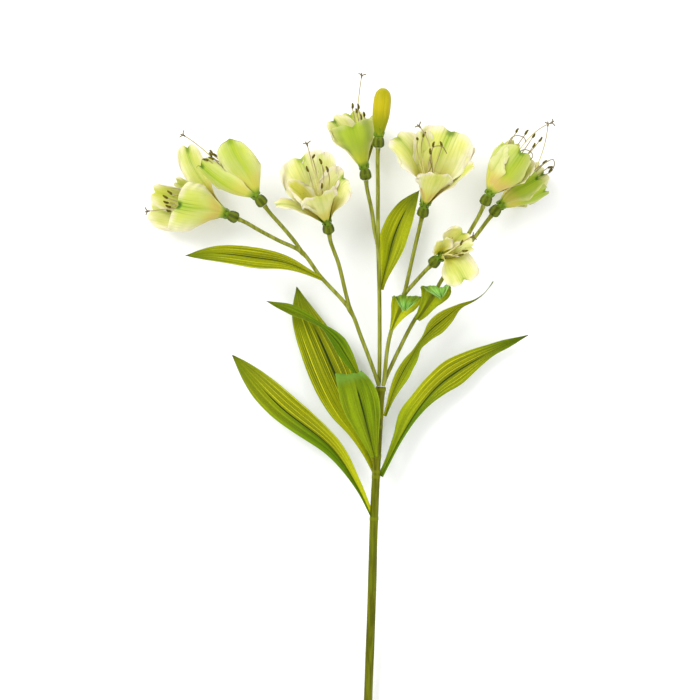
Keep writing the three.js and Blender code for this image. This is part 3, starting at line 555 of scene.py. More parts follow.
FLOWERS["d"] = dict(
    neck=[-13.4, 176, 34], axis=[-0.26, 0.96, 0.1], ovary=[-0.12, 1, 0],
    tepals=[
        petal([-10.5, 34, 16], 42, 12, lean=36, taper=0, full=0.85, round=0.1, green=0.8,
              tipped=0.2),
        petal([5, 37, -1], 22, 0, green=0.5, tipped=0.3, rim=0.4),
        petal([3, 42, -13], 28, 15, green=0.4, tipped=0.3, rim=0.5),
        petal([-12, 46, -15], 30, 15, tipped=0.3, rim=0.5),
        petal([-27, 39, -2], 28, 40, turn=-35, taper=0.1, green=0.0, tipped=0.7, rim=0.7),
    ],
    stamens=[[-4.6, 46, 3], [-9.5, 46.5, 2], [-6.2, 43, 5], [0, 40, 4], [-2.5, 38, -2]],
    split=[-2.2, 72, 2], heading=[0.15, 1, 0], green=0.3, blush=0.0,
)
FLOWERS["f"] = dict(
    neck=[34.8, 145.3, 42], axis=[0.2, 0.78, 0.6], ovary=[0.2, 0.92, 0.3],
    tepals=[
        petal([-25, 54, 14], 38, 90, lean=14, hug=0.1, taper=0, tipped=0.4),
        petal([-2, 59, 12], 26, 40, tipped=0.2),
        petal([22, 60, 6], 46, 70, lean=24, hug=0.1, taper=0, tipped=0.7),
        petal([38, 47, 9], 26, 60, lean=14, hug=0.1, taper=0.2, tipped=0.1),
        petal([39, 31, 22], 22, 45, lean=26, hug=0.2),
        petal([10, 23, 38], 30, 20, taper=0, full=0.8),
    ],
    stamens=[[-6, 49.9, 28], [-2, 52, 26], [5.7, 44, 32], [12.8, 44, 30], [4, 38, 34]],
    split=[-4.6, 59.5, 34], heading=[-0.7, 0.8, 0], green=0.0, blush=1.0,
)
FLOWERS["g"] = dict(
    neck=[85.8, 153.7, 56], axis=[0.58, 0.81, 0.08], ovary=[0.4, 0.9, 0.1],
    tepals=[
        petal([26.5, 34.3, 11.6], 40, -10, side=[0.2, -0.1, 1], lean=40, hug=0.7, taper=0.1,
              green=0.5, tipped=0.6, rim=0.4),
        petal([31, 26.3, 0], 22, 5, side=[0.8, -0.58, 0.2], lean=32),
        petal([12.6, 40.8, 1], 38, -20, side=[-0.78, 0.56, 0.35], lean=44, hug=0.7, taper=0.1,
              tipped=0.4, rim=0.2),
        petal([22, 42, -8], 24, 0, side=[-0.5, 0.36, -0.8], lean=28, rim=0.5),
        petal([33, 29.3, -10], 30, 0, side=[0.5, -0.36, -0.8], lean=40),
    ],
    stamens=[[33.7, 43.9, 4], [38.8, 40.9, 3], [20.8, 47.7, 5], [34, 36.3, 2], [28, 46.3, 2]],
    split=[48, 55.3, 6], heading=[0.95, 0.35, 0], green=0.2, blush=0.9,
)
FLOWERS["h"] = dict(
    neck=[96, 145.8, 22], axis=[0.84, 0.54, 0], ovary=[0.62, 0.78, -0.1],
    tepals=[
        petal([38.7, 13, 5], 26, 12, turn=-8, green=0.8, tipped=0.4),
        petal([32, 23, 13], 24, 0, side=[-0.2, 0.3, 0.9], lean=38, green=0.9, tipped=1),
        petal([25, 37, -5], 28, 25, tipped=0.2, green=0.1),
        petal([38, 28, -9], 26, 10, green=0.1, tipped=1),
        petal([27, 20, -23.2], 28, -5, side=[0, 0, -1], hug=0.2, green=0.8, tipped=0.2),
        petal([34, 33, -12], 24, 15, tipped=0.2, green=0.1),
    ],
    stamens=[[34, 33, 4], [38, 30, 4], [39, 26, 4]],
    split=[38, 64, 6], heading=[0.1, 1, 0], green=0.4, blush=0.5,
)
FLOWERS["i"] = dict(
    neck=[46.4, 103.2, 55], axis=[0.7, 0.35, 0.6], ovary=[0.68, 0.68, 0.3],
    tepals=[
        petal([1, 14, 17], 20, 10, axis=[-0.3, 0.45, 0.85], side=[-0.25, 0.8, -0.5], lean=20,
              hug=0.5, taper=0.1, lift=2, yellow=0.4),
        petal([20, 21, 9], 28, 25, turn=-20, taper=0.1, tipped=0.3, yellow=0.4),
        petal([24, 16, 3], 18, 20),
        petal([27, 8, 13], 16, 40),
        petal([20, -21, 14], 29, 85, lean=12, turn=50, hug=0.2, taper=0, round=0.2, tipped=0.3),
    ],
    stamens=[[15.8, 8.8, 20], [17, 4.3, 20], [14, 1, 20]],
    split=[24, 15, 24], heading=[0.9, 0.4, 0.2], green=0.1, blush=0.1,
)
BUD_AT = dict(neck=[-1.9, 200.2, 59], axis=[0.1, 0.99, 0.05], ovary=[0.05, 1, 0.08], length=36.8)
OVARY_RADIUS, OVARY_LENGTH, OVARY_SIDES = 4.4, 9, 48
OVARY_DROP = 1.2 + GAP  # from the flower's neck down to the ovary's rim


def neck_and_axis(flower):
    return vec(flower["neck"]), unit(vec(flower["axis"]))


def ovary_ends(flower):
    neck, axis = neck_and_axis(flower)
    heading = unit(vec(flower["ovary"]))
    rim = neck - OVARY_DROP * axis
    return rim - OVARY_LENGTH * heading, rim, heading


# ---- stem and rays

COLLAR_HEIGHT = 30
CUT_HEIGHT = 3.39  # the middle of the cut end above the table
STEM_RADIUS, STEM_SIDES = 3.5, 36
STEM_POINTS = [
    [-13, -347, CUT_HEIGHT], [-10, -249, 11], [-7.2, -170, 17.2], [-5.6, -110, 21.6],
    [-3.6, -66, 25.2], [-0.8, -11, 29.4], [0, 0, COLLAR_HEIGHT],
]
STEM_RADII = [0.97, 1, 1, 0.97, 0.92, 0.98, 1.15]
STEM_JOINTS = [-106, -68, -56, -32, -23.5, -72]  # how far up the stem each leaf leaves it
COLLAR_SWELL_AT = -2.2
# the cut end's face, from its middle out
CUT_RINGS = [(0.004, 0.1), (0.0, 0.9), (-0.028, 1.9), (-0.068, 2.6), (-0.02, 3.1), (0.5, 3.1)]
CUT_SHARES = [1, 0.75, 0.5, 0.25, 0, 0]


def bump(distance, reach):
    """1 at no distance, falling away to 0."""
    return np.exp(-((distance / reach) ** 2))


def stem():
    line = smooth_line(STEM_POINTS, 40)
    y = line[:, 1]
    joint = np.max([bump(y - place, 1.6) for place in STEM_JOINTS], axis=0)
    collar = bump(y - COLLAR_SWELL_AT, 1.2)
    radii = along(STEM_RADII, np.linspace(0, 1, len(line))) * STEM_RADIUS
    radii = radii + 0.28 * joint + 0.35 * collar + 0.05 * np.sin(y / 9)
    radii[0] -= 0.25
    swell = np.maximum(joint, collar)
    body = tube(line, radii, STEM_SIDES, ribs=0.012, rib_count=9, joint=swell)
    cut = turned_tube(line[0], unit(line[1] - line[0]), CUT_RINGS, STEM_SIDES, CUT_SHARES)
    piece("stem", [body, cut], [STALK, CUT], [0, 1])


RAY_RADIUS, RAY_SIDES = 1.55, 14
RAY_RADII = [1, 1.03, 1, 1.05]
RAY_FOOT = 0.8  # above the collar's top
RAY_RUN = 7  # the straight run up to an ovary
RAYS = {
    "left": {
        "a": [[-1.75, RAY_FOOT, 31.75], [-3.6, 7, 32.2], [-16, 40.3, 33], [-24.8, 61.6, 34],
              [-48.6, 88.6, 37], [-63.2, 107.6, 37], [-82.4, 117.5, 33], [-97, 125.3, 29.6]],
        "b": [[-62.8, 107, 37], [-67.6, 114.4, 40], [-76.8, 125.6, 45]],
        "c": [[-24.4, 61, 34], [-27.4, 72, 34], [-33.9, 98.6, 33], [-37.3, 108, 32]],
    },
    "centre": {
        "bud": [[-1.75, RAY_FOOT, 28.25], [-1.3, 7, 28.8], [-1.2, 69.6, 36], [-2.4, 115.2, 42],
                [-2.6, 160, 51.5]],
        "d": [[-2.4, 114, 41.8], [-4.6, 122, 41], [-7.4, 140.8, 37]],
    },
    "right_inner": {
        "f": [[1.75, RAY_FOOT, 31.75], [2.7, 7, 33], [5.6, 33.6, 36], [9.2, 48, 38],
              [15.2, 61.6, 40], [18.8, 75.2, 41], [24.8, 101.6, 38], [28.6, 118, 35.6]],
        "i": [[18, 73.5, 41], [26, 82.5, 44.6]],
    },
    "right_outer": {
        "g": [[1.75, RAY_FOOT, 28.25], [4, 7, 28.1], [15.2, 31.2, 29], [27.7, 54.8, 30],
              [43.2, 75.5, 31.5], [47.2, 83.2, 32.5], [59.2, 103.2, 38], [69, 121, 47.5]],
        "h": [[58.6, 102.4, 37.8], [66, 110, 33], [75.6, 120.4, 27.5]],
    },
}


def ray(name, branches):
    joints = [vec(points[0]) for points in list(branches.values())[1:]]
    parts = []
    for blossom, points in branches.items():
        foot, _, heading = ovary_ends(BUD_AT if blossom == "bud" else FLOWERS[blossom])
        line = smooth_line([*points, foot - RAY_RUN * heading, foot - GAP * heading], 14)
        share = np.linspace(0, 1, len(line))
        joint = np.zeros(len(line))
        for place in joints:
            joint = np.maximum(joint, bump(np.linalg.norm(line - place, axis=1), 2.6))
        radii = along(RAY_RADII, share) * RAY_RADIUS
        swell = 0.42 * joint + 0.3 * bump((1 - share) * len(line), 5)
        marks = dict(joint=joint * 0.6, pale=0.8)
        parts.append(tube(line, radii + swell, RAY_SIDES, ribs=0.02, rib_count=5, **marks))
    piece(f"ray_{name}", parts, [STALK])


# ---- leaves

# A leaf follows its middle line from its stalk to its tip. roll and fold, in degrees from base to
# tip, are the turn of the blade about its line and the rise of each half from the midrib. green and
# pale give the colours of the left and the right half, from base to tip; green is partly the leaf's
# own green and partly painted shade, darker where a half turns away from the light.
LEAVES = {}
LEAVES["leaf_low_left"] = dict(
    left_reach=[2.5, 3.1, 4.6, 6.5, 8.2, 9.4, 10.2, 10.6, 9.8, 6.2, 0.3],
    right_reach=[2.5, 3.3, 5, 7.2, 9.6, 11.8, 13.4, 13.4, 11.2, 6.8, 0.3],
    roll=[40, 18, 4, 0, 6], fold=[40, 30, 16, 10, 12],
    line=[[-7, -106, 22], [-18.6, -80.8, 25], [-38.6, -50.4, 26], [-82, -15, 22],
          [-120, 25.6, 13]],
    wave=0.9, waves=3.2, green=([1, 1, 1, 0.8, 0.5, 0.3, 0.4], [0, 0, 0.1, 0.1, 0.2]),
    pale=([0, 0], [0.9, 0.6, 0.1, 0, 0, 0]),
)
LEAVES["leaf_left_back"] = dict(
    left_reach=[2.5, 6, 10.5, 17, 20, 20.5, 19.5, 17, 11.5, 0.4],
    right_reach=[2.5, 4, 7, 11, 14, 15, 13, 9.5, 5, 0.4],
    roll=[10, 5, 0, -6, -10], fold=[35, 18, 10, 10, 14],
    line=[[-5.4, -68, 23], [-11.5, -50, 20], [-22, -24.5, 17], [-37.6, 12.2, 15],
          [-49.7, 40, 14], [-60, 62, 13], [-68, 80.8, 12]],
    wave=1.0, waves=3, green=([0.1, 0.1, 0.1, 0.2, 0.4], [0.1, 0.2, 0.1, 0.1, 0.3]),
    pale=([0.7, 0.6, 0.2, 0, 0, 0], [0, 0]),
)
LEAVES["leaf_front"] = dict(
    left_reach=[3.7, 6.5, 10.2, 14, 15.5, 15, 13.5],
    right_reach=[3.7, 6.5, 10.2, 14, 15.2, 12.6, 6],
    roll=[0, 0], fold=[35, 20, 12, 8, 4], fold_line=[1, 0.05, 0],
    line=[[-5, -56, 30], [-9.5, -38, 36], [-14.6, -18, 41], [-19.2, -1, 44.5],
          [-22, 8, 44], [-22.8, 10.4, 41], [-22.4, 8.5, 38.5]],
    wave=0.8, waves=2, blunt=0.05, frill=0.7,
    green=([0.7, 0.75, 0.8, 0.85, 1.4], [0.6, 0.7, 0.8, 0.85, 1.4]),
    pale=([0.2, 0.2], [0.1, 0.1]),
)
LEAVES["leaf_left_twisted"] = dict(
    width=17, shape=[0.2, 0.3, 0.34, 0.36, 0.68, 0.72, 0.36, 0.56, 0.46, 0.03],
    roll=[0, 4, 8, 12, 20, 40, 50, 26, 10], fold=[40, 24, 16, 14, 16, 16, 18],
    line=[[-5, -32, 29], [-12, -10, 29.5], [-20, 11.4, 30.5], [-29, 27, 31], [-35.6, 37, 31.5],
          [-48.8, 49.4, 32.5], [-71, 60.8, 32], [-91.8, 68.8, 30]],
    wave=0.8, waves=2.5, green=([0.9, 1, 1, 1, 0.7, 0.5], [0.5, 0.5, 0.6, 1, 0.7, 0.4]),
)
LEAVES["leaf_right_twisted"] = dict(
    width=17, shape=[0.18, 0.3, 0.55, 0.8, 0.72, 0.6, 0.85, 1, 0.75, 0.3, 0.1, 0.06, 0.03],
    roll=[0, 10, 20, 34, 66, 34, 6, 0, 20, 40], fold=[35, 24, 20, 16, 14, 14, 20, 24],
    line=[[3, -23.5, 28], [10.6, -2.4, 26], [18.4, 13.6, 24.5], [24.6, 24, 24],
          [30.4, 34.6, 23.5], [39.6, 45.4, 22.5], [52, 55.6, 21.5], [63.4, 64.6, 21],
          [75, 69.6, 21.5], [83, 75.2, 22], [90.6, 84.8, 21]],
    wave=0.9, waves=2.6, green=([0.2, 0.3, 0.4, 0.2, 0.2, 0.7], [0.4, 0.5, 0.6, 0.3, 0.3, 0.8]),
    pale=([0.2, 0.2], [0.2, 0.2]),
)
LEAVES["leaf_low_right"] = dict(
    left_reach=[2.4, 3.6, 6.5, 12, 11.6, 12.2, 13.4, 11, 7.5, 4.6, 0.4],
    right_reach=[2.4, 2.4, 2.6, 3.4, 5.4, 8.4, 10.6, 7.6, 3.6, 2.2, 0.4],
    roll=[-16, -10, 0, 6, 14], fold=[30, 24, 14, 16, 18],
    line=[[0, -72, 24], [16.6, -40, 21], [34, -13.4, 18], [50, 3.6, 16], [80, 23, 12],
          [119.6, 41.8, 9]],
    wave=1.2, waves=2.4,
    green=([1, 0.95, 0.9, 0.1, 0, 0.2, 0.6, 0.9], [1, 1, 1, 0.6, 0.3, 0.3, 0.6, 0.9]),
    pale=([0, 0.4, 0.5, 0.15, 0, 0, 0], [0, 0]),
)
LEAVES["leaf_centre_ray"] = dict(
    width=23, widest=0.48, roll=[10, 0, -6, -10, -14], fold=[30, 18, 12, 12, 14],
    line=[[-0.6, 78, 34], [5, 100, 30], [11, 122, 26], [20, 142, 24], [31, 158, 24]],
    wave=0.8, waves=2, green=([0.1, 0, 0, 0.2, 0.4], [0.2, 0.3, 0.3, 0.3, 0.4]),
    pale=([0.9, 0.9, 0.7, 0.3, 0.1], [0.3, 0.3, 0.4, 0.3, 0.1]),
)
LEAVES["leaf_left_ray"] = dict(
    width=17, widest=0.5, roll=[10, -4, -10, -6, 0], fold=[30, 20, 14, 14, 16],
    line=[[-47, 86.4, 38], [-75, 99, 42], [-101, 103.5, 44], [-129, 106.5, 42],
          [-156.3, 105, 38]],
    wave=0.9, waves=3, green=([0.3, 0.2, 0.2, 0.3, 0.5], [0.1, 0, 0, 0.1, 0.3]),
)
LEAVES["leaf_curled_inner"] = dict(
    width=24, shape=[0.16, 0.27, 0.4, 0.56, 0.74, 0.88, 1, 0.98, 0.8, 0.5, 0.12],
    roll=[0, 0], fold=[34, 24, 12, 4, -6], fold_line=[1, -0.05, 0],
    line=[[8.4, 46, 40], [11.5, 54, 43], [15.6, 63, 47.5], [19.4, 70, 52.5], [20.6, 73, 57.5],
          [20, 71, 61], [19, 66, 62.4], [18.4, 60.5, 62]],
    wave=0.8, waves=2, frill=1.5, crumple=1, ridge=1,
    green=([0.3, 0.3, 0.4, 0.7, 1.3], [0.1, 0.1, 0.2, 0.7, 1.3]),
    pale=([0.6, 0.7, 0.6, 0.3], [0.6, 0.7, 0.6, 0.3]),
)
LEAVES["leaf_curled_outer"] = dict(
    width=25, shape=[0.22, 0.34, 0.44, 0.52, 0.62, 0.78, 0.96, 1, 0.82, 0.5, 0.12],
    roll=[0, 0], fold=[34, 24, 12, 4, -6], fold_line=[1, -0.1, 0],
    line=[[29, 54.5, 32.5], [33.5, 60.5, 36], [38.5, 68.5, 40], [42.6, 76, 44.5],
          [44.4, 80, 49], [45.4, 79, 52.4], [46.8, 75, 53.8], [48, 71, 53.4]],
    wave=0.8, waves=2, frill=1.5, crumple=1, ridge=1,
    green=([0.8, 0.8, 0.8, 0.9, 1.3], [0.6, 0.6, 0.7, 0.9, 1.3]),
    pale=([0.4, 0.5, 0.4, 0.3], [0.4, 0.5, 0.4, 0.3]),
)
LEAF_USUAL = dict(blunt=0, frill=0, crumple=0, ridge=0, pale=([0, 0], [0, 0]))
LEAF_GRID = 100, 33  # rows and columns
LEAF_BASE = 0.24  # share of the full width at the stalk
LEAF_THICKNESS = 0.45


def leaf_middle(leaf, u):
    """The leaf's middle line and its heading at shares u of its length."""
    line = smooth_line(leaf["line"], 60)
    walked = np.append(0, np.cumsum(np.linalg.norm(np.diff(line, axis=0), axis=1)))
    slopes = unit(np.gradient(line, walked, axis=0))
    place = np.clip(u, 0.001, 0.999) * walked[-1]
    centre, ahead = (
        np.stack([np.interp(place, walked, values[:, k]) for k in range(3)], -1)
        for values in (line, slopes)
    )
    return centre, unit(ahead)


def leaf_half(leaf, u, s):
    """How far the blade reaches from its middle line on either side."""
    if "left_reach" in leaf:
        return mix(curve_along(leaf["left_reach"], u), curve_along(leaf["right_reach"], u), s > 0)
    if "shape" in leaf:
        share = curve_along(leaf["shape"], u)
    else:
        past = np.maximum(0, (u - leaf["widest"]) / (1 - leaf["widest"]))
        share = mix(LEAF_BASE, 1, ramp(0, leaf["widest"], u)) * (1 - past**2.4)
    return leaf["width"] / 2 * np.maximum(share, 0.03)


def leaf_grid(leaf, u, s):
    centre, ahead = leaf_middle(leaf, u)
    if "fold_line" in leaf:
        fold_line = vec(leaf["fold_line"])
        across = unit(fold_line - (ahead @ fold_line)[..., None] * ahead)
    else:
        across = unit(np.cross(ahead, UP))
    across = turned_about(across, ahead, np.radians(curve_along(leaf["roll"], u)))
    above = np.cross(across, ahead)
    half = leaf_half(leaf, u, s)
    rise = np.radians(curve_along(leaf["fold"], u))
    end = ramp(0.55, 1, u)
    frill, crumple = leaf["frill"] * end, leaf["crumple"] * ramp(0.6, 0.95, u)
    shift = -25 * leaf["blunt"] * end * s**2 - 0.55 * frill * (1 + np.cos(5.4 * s + 1.4))
    shift = shift + crumple * (0.7 * np.sin(14 * s + 0.4) + 0.5 * np.sin(31 * s + 2.0))
    turn = (leaf["waves"] * u + s / 5) * 2 * np.pi
    wave = leaf["wave"] * s**2 * ramp(0.1, 0.4, u) * np.sin(turn) + frill * np.sin(6.6 * s + 0.6)
    wave = wave + crumple * (0.8 * np.sin(17 * s + 1.1) + 0.5 * np.sin(29 * s + 9 * u))
    edge = leaf["wave"] * 0.3 * np.abs(s) ** 3 * ramp(0.15, 0.5, u) * np.sin(3.3 * turn + 3 * s)
    groove = leaf["ridge"] * 1.1 * bump(half * s, 1.1) * (1 - end) - 0.035 * half * bump(s, 0.09)
    reach = half * s * np.cos(rise)
    height = half * np.sqrt(s**2 + 0.004) * np.sin(rise) + wave + edge + groove
    return centre + across * reach[..., None] + above * height[..., None] + ahead * shift[..., None]


def leaf_piece(name, leaf):
    u, s = blade_places(*LEAF_GRID)
    thickness = LEAF_THICKNESS * (1 - 0.5 * s**2) * (1 - 0.4 * u)
    marks = dict(seed=len(name) + ord(name[-1]), ridge=leaf["ridge"])
    for mark in ("green", "pale"):
        left, right = leaf[mark]
        marks[mark] = mix(curve_along(left, u), curve_along(right, u), ramp(-0.12, 0.12, s))
    piece(name, [blade(leaf_grid(leaf, u, s), thickness, u, s, **marks)], [LEAF])


# ---- flowers

# What a tepal has where its own line in FLOWERS says nothing else. Its claw is the share of its
# width at the foot, and it is widest at full. root is where it leaves the receptacle.
TEPAL_USUAL = dict(hug=0.4, taper=0.2, notch=3.2, round=0.26, skew=0, lift=0, turn=0, rim=1,
                   tipped=0, yellow=0)
OUTER_USUAL = dict(TEPAL_USUAL, claw=0.26, full=0.5, lean=36, root=0.85)
INNER_USUAL = dict(TEPAL_USUAL, claw=0.2, full=0.62, lean=24, root=0.5)
RECEPTACLE_RADIUS = 2.6
TEPAL_GRID = 48, 31
TEPAL_THICKNESS = 0.4
RECEPTACLE = [
    (-1.2, 1.3), (-0.6, 2.1), (0.2, 2.6), (1.4, 2.75), (3.0, 2.6), (3.3, 1.6), (3.3, 0.2),
]


def tepal_grid(flower, tepal, seed, u, s):
    neck, flower_axis = neck_and_axis(flower)
    axis = unit(vec(tepal["axis"]))
    outward = vec(tepal["side"])
    outward = unit(outward - np.dot(outward, axis) * axis)
    across = np.cross(axis, outward)

    def heading(degrees):
        return axis * math.cos(math.radians(degrees)) + outward * math.sin(math.radians(degrees))

    tip, width = vec(tepal["tip"]), tepal["width"]
    length = np.linalg.norm(tip)
    foot = outward * RECEPTACLE_RADIUS * tepal["root"] + flower_axis * tepal["lift"]
    leaving = foot + heading(tepal["lean"]) * length * 0.4
    arriving = tip - heading(tepal["flare"]) * length * 0.35
    middle = foot, leaving, arriving, tip

    half = width / 2 * mix(tepal["claw"], 1, ramp(0, tepal["full"], u))
    half = half * (1 - tepal["taper"] * ramp(0.6, 1, u))
    corner = 1 - np.sqrt(np.maximum(0, 1 - np.abs(s) ** 2.6))
    rounding = tepal["round"] * length * corner * ramp(0.35, 1, u)
    notch = tepal["notch"] * np.maximum(0, 1 - np.abs(s) / 0.36) ** 1.3 * ramp(0.8, 1, u)
    t = u - (rounding + notch) / length
    centre = bezier(*middle, t)
    ahead = bezier_heading(*middle, t)
    off = np.linalg.norm(centre - (centre @ axis)[..., None] * axis, axis=-1)
    hug = mix(0.9, tepal["hug"], ramp(0.2, 0.8, u))
    wrap = np.minimum(1.2, hug * half / np.maximum(off, RECEPTACLE_RADIUS))
    turn = math.radians(tepal["turn"]) * ramp(0.1, 0.6, u)
    side = turned_about(np.broadcast_to(across, ahead.shape), ahead, turn)
    inward = unit(np.cross(ahead, side))

    bend = wrap * s
    margin = ramp(0.4, 1, u)
    wave = 0.05 * width * s**2 * margin * np.sin(9 * u + 4 * s + width)
    ruffle = 0.026 * width * np.abs(s) ** 3 * margin * np.sin(31 * u + 5 * s + 2.1 * seed)
    ends = 0.022 * width * ramp(0.82, 1, u) * np.sin(13 * s + seed)
    keel = -0.5 * bump(s, 0.1) * ramp(0.1, 0.4, u) * (1 - ramp(0.85, 1, u))
    height = half * (1 - np.cos(bend)) / wrap + wave + ruffle + ends + keel
    place = neck + centre + side * (half * np.sin(bend) / wrap)[..., None]
    skew = tepal["skew"] * s * ramp(0.35, 1, u)
    return place - ahead * skew[..., None] + inward * height[..., None]


def tepals(letter, flower):
    u, s = blade_places(*TEPAL_GRID)
    thickness = TEPAL_THICKNESS * (1 - 0.45 * s**2) * (1 - 0.35 * u)
    parts = []
    for number, given in enumerate(flower["tepals"]):
        inner = number % 2
        tepal = dict(axis=flower["axis"], side=given["tip"], green=flower["green"])
        tepal.update(INNER_USUAL if inner else OUTER_USUAL)
        tepal.update(given)
        seed = ord(letter) + 3.7 * number
        marks = {mark: tepal[mark] for mark in ("green", "yellow", "tipped", "rim")}
        marks.update(blush=flower["blush"], hemmed=flower.get("hemmed", 0))
        marks.update(flecked=inner, seed=seed)
        parts.append(blade(tepal_grid(flower, tepal, seed, u, s), thickness, u, s, **marks))
    neck, axis = neck_and_axis(flower)
    parts.append(turned_tube(neck, axis, RECEPTACLE, 24, 0))
    piece(f"flower_{letter}_tepals", parts, [TEPAL])


FILAMENT_RADIUS, FILAMENT_SIDES = 0.5, 8
ANTHER_LENGTH, ANTHER_RADIUS = 5, 0.82
ANTHER_OUTLINE = [
    (-0.04, 0.3), (0.05, 0.75), (0.2, 1.0), (0.4, 1.0), (0.6, 0.95), (0.8, 0.8), (0.94, 0.5),
    (1.0, 0.12),
]
KNOB_RADIUS = 1.3  # of the knob in the throat that carries the filaments
KNOB = [(3.3, KNOB_RADIUS), (4.2, KNOB_RADIUS), (5.0, 1.17), (5.5, 0.65)]
FILAMENT_FOOT = 4.4  # above the neck
STIGMA_BRANCH = 4.6
# Filaments that have lost their anthers and curl, as points from the flower's neck.
CURLS = {
    "f": [
        [[2, 6, 6], [5.5, 22, 20], [5.7, 43.5, 31], [12.8, 44.2, 34], [16.5, 38.5, 35]],
        [[1, 5, 6], [1, 14, 18], [0.5, 22, 28], [4.2, 28, 33], [3.4, 34, 34]],
    ],
    "g": [
        [[3, 5, 2], [11, 24, 5], [14.5, 39, 8], [17.5, 44, 9], [22, 45.2, 9], [27, 43.5, 8],
         [28.5, 40, 7]],
        [[4, 4, 2], [15, 20, 4], [26, 34, 8], [32, 32.5, 9], [33.8, 29, 8], [32, 26, 7]],
    ],
    "h": [[[4, 3, 1], [20, 18, 4], [36, 34, 6], [42, 36.5, 7], [43.2, 33, 7], [41, 27, 6]]],
    "i": [[[2, 0.5, 3], [8, 1, 12], [13.3, 2.6, 17]]],
}


def stamens(letter, flower):
    neck, axis = neck_and_axis(flower)
    parts = [turned_tube(neck, axis, KNOB, 16)]
    kinds = [0]
    foot = neck + axis * FILAMENT_FOOT
    t = np.linspace(0, 1, 22)

    def thread(line, start, end, dark=0.0):
        """A thread along a line, its radius in filaments' at either end."""
        radii = FILAMENT_RADIUS * mix(start, end, np.linspace(0, 1, len(line)))
        parts.append(tube(line, radii, FILAMENT_SIDES, dark=dark))
        kinds.append(0)

    def bowed(foot, end, heading, sway):
        reach = np.linalg.norm(end - foot)
        line = bezier(foot, foot + axis * reach * 0.4, end - heading * reach * 0.3, end, t)
        line = line + np.sin(np.pi * t)[:, None] * sway
        thread(line, 1.2, 0.75)
        return unit(line[-1] - line[-3])

    for number, place in enumerate(flower["stamens"]):
        end = neck + vec(place)
        out = end - neck
        out = unit(out - np.dot(out, axis) * axis)
        sway = (np.cross(axis, out) * math.sin(number * 2.4) + out * 0.6) * 1.3
        ahead = bowed(foot + out * KNOB_RADIUS * 0.6, end, axis, sway)
        lobes = unit(ahead + math.sin(number * 4.1 + ord(letter)) * 0.8 * np.cross(axis, out))
        rise, radii = np.transpose(ANTHER_OUTLINE)
        line = end + np.outer(rise * ANTHER_LENGTH, lobes) + np.outer(np.sin(rise * 3), out * 0.5)
        parts.append(tube(line, ANTHER_RADIUS * radii, 16, ribs=0.2, rib_count=2))
        kinds.append(1)
    for points in CURLS.get(letter, []):
        thread(smooth_line([neck + vec(point) for point in points], 12), 1.0, 0.7, dark=0.7)
    split = neck + vec(flower["split"])
    heading = unit(vec(flower["heading"]))
    bowed(foot, split, heading, 0 * axis)
    side = unit(np.cross(heading, UP))
    for turn in (20, 140, 260):
        spread = turned_about(side, heading, math.radians(turn))
        end = split + heading * STIGMA_BRANCH * 0.6 + spread * STIGMA_BRANCH * 0.8
        bent = mix(split, end, 0.75) + heading * 0.4
        root = split + heading * 1.2 + spread * 0.5
        thread(smooth_line([split - heading * 0.8, root, bent, end], 6), 1.15, 0.75, dark=0.9)
    piece(f"flower_{letter}_stamens", parts, [THREAD, ANTHER], kinds)


OVARY_SHARES = [0, 0.06, 0.14, 0.22, 0.36, 0.5, 0.64, 0.75, 0.86, 0.94, 1.0]
OVARY_OUTLINE = [
    (0, 0.5), (0.1, 0.84), (0.22, 1), (0.5, 1.02), (0.75, 0.92), (0.9, 0.78), (1, 0.68),
]
RIM_LOBES = 6


def ovary(name, flower):
    """A six-ribbed ovary, with the ragged green lobes that stand round the flower's foot."""
    foot, rim, heading = ovary_ends(flower)
    _, axis = neck_and_axis(flower)
    share = np.array(OVARY_SHARES)
    radii = OVARY_RADIUS * np.interp(share, *np.transpose(OVARY_OUTLINE))
    parts = [tube(foot + np.outer(share, rim - foot), radii, OVARY_SIDES, share, ribs=0.07)]
    side = unit(np.cross(UP, axis))
    u, s = np.meshgrid(np.linspace(0, 1, 9), np.linspace(-1, 1, 7), indexing="ij")
    for number in range(RIM_LOBES):
        out = turned_about(side, axis, math.radians(60 * number + 30))
        beside = np.cross(axis, out)
        reach = 6.2 + 1.6 * math.sin(number * 2.7 + heading[0] * 5)
        rise = (OVARY_DROP + u * reach - 1.6)[..., None]
        away = (3.0 + 1.1 * u + 0.35 * np.sin(6 * u + number * 1.9) + 0.3 * s**2)[..., None]
        wide = ((1.75 + 0.3 * np.sin(9 * u + number)) * (1 - u**2.2) * s)[..., None]
        grid = rim + axis * rise + out * away + beside * wide
        parts.append(blade(grid, 0.35 * (1 - 0.5 * u), 0.9 + 0.1 * u, s))
    piece(name, parts, [OVARY])


BUD_SIDES = 48
BUD_OUTLINE = [
    (0, 3.3), (0.1, 4.1), (0.22, 5.2), (0.44, 6.8), (0.6, 7.1), (0.73, 7.05), (0.86, 6.3),
    (0.95, 4.4), (1, 1.8),
]


def bud():
    neck, axis = neck_and_axis(BUD_AT)
    foot = neck + axis * (GAP - OVARY_DROP)
    tip = neck + axis * BUD_AT["length"]
    share = np.append(np.linspace(0, 0.94, 40), [0.96, 0.975, 0.988, 0.996, 1.0])
    outline = smooth_line([[at, radius, 0] for at, radius in BUD_OUTLINE], 20)
    line = foot + np.outer(share, tip - foot)
    radii = np.interp(share, outline[:, 0], outline[:, 1])
    points, faces, marks = tube(line, radii, BUD_SIDES, share)
    # three shallow seams where the outer tepals meet
    turn = np.tile(np.linspace(0, 2 * np.pi, BUD_SIDES, endpoint=False), len(line))
    seam = -np.abs(np.cos(1.5 * turn + 0.4)) ** 12
    centre = np.repeat(line, BUD_SIDES, axis=0)
    points = centre + (points - centre) * (1 + 0.05 * seam[:, None])
    marks["across"] = seam
    piece("bud", [(points, faces, marks)], [BUD])


# ---- the part

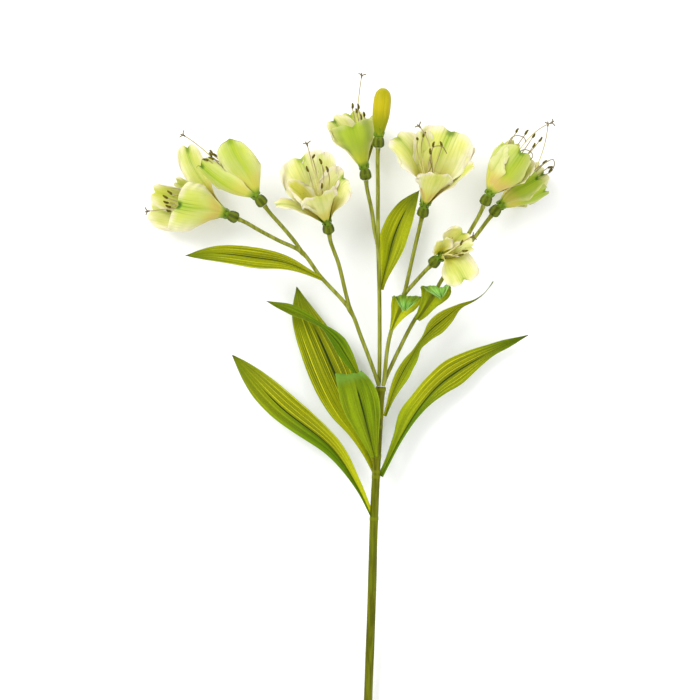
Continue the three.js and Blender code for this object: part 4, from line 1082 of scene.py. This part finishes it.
stem()
for name, branches in RAYS.items():
    ray(name, branches)
for name, leaf in LEAVES.items():
    leaf_piece(name, {**LEAF_USUAL, **leaf})
for letter, flower in FLOWERS.items():
    ovary(f"flower_{letter}_ovary", flower)
    tepals(letter, flower)
    stamens(letter, flower)
ovary("bud_ovary", BUD_AT)
bud()

# ---- floor, light and camera


def floor_look():
    look = Look("floor", 0.9)
    look.colour = look.blend((0.97, 0.97, 0.97), (0.98, 0.98, 0.98), (look.noise(3, 2), 0.4, 0.6))
    return look.finish()


FLOOR_REACH = 4.0
floor_mesh = bpy.data.meshes.new("floor")
corners = [(x * FLOOR_REACH, y * FLOOR_REACH, 0) for x, y in ((-1, -1), (1, -1), (1, 1), (-1, 1))]
floor_mesh.from_pydata(corners, [], [(0, 1, 2, 3)])
floor_mesh.materials.append(floor_look())
floor = add("floor", floor_mesh)

world = bpy.data.worlds.new("studio")
world.use_nodes = True
background = world.node_tree.nodes["Background"]
background.inputs["Color"].default_value = (1.0, 1.0, 1.0, 1.0)
background.inputs["Strength"].default_value = 1.05
bpy.context.scene.world = world


def area_light(name, place, aim, size, power):
    data = bpy.data.lights.new(name, "AREA")
    data.shape = "DISK"
    data.size = size
    data.energy = power
    lamp = add(name, data)
    lamp.location = place
    away = Vector(place) - Vector(aim)
    lamp.rotation_euler = away.to_track_quat("Z", "Y").to_euler()


area_light("key", (-1.3, 1.2, 2.0), (0, 0.1, 0), 1.4, 38)
area_light("fill", (1.6, -0.6, 1.8), (0, 0, 0), 2.0, 10)

# The camera looks straight down. Its frame is 560 mm wide at the flowers' height.
VIEW_WIDTH = 0.56
VIEW_HEIGHT = 0.035
VIEW_MIDDLE = (0.0012, 0.0776)
camera_data = bpy.data.cameras.new("camera")
camera_data.lens = 150
camera_data.sensor_width = 36
camera = add("camera", camera_data)
distance = VIEW_WIDTH * camera_data.lens / camera_data.sensor_width
camera.location = (*VIEW_MIDDLE, VIEW_HEIGHT + distance)
bpy.context.scene.camera = camera
bpy.context.scene.view_settings.view_transform = "Standard"
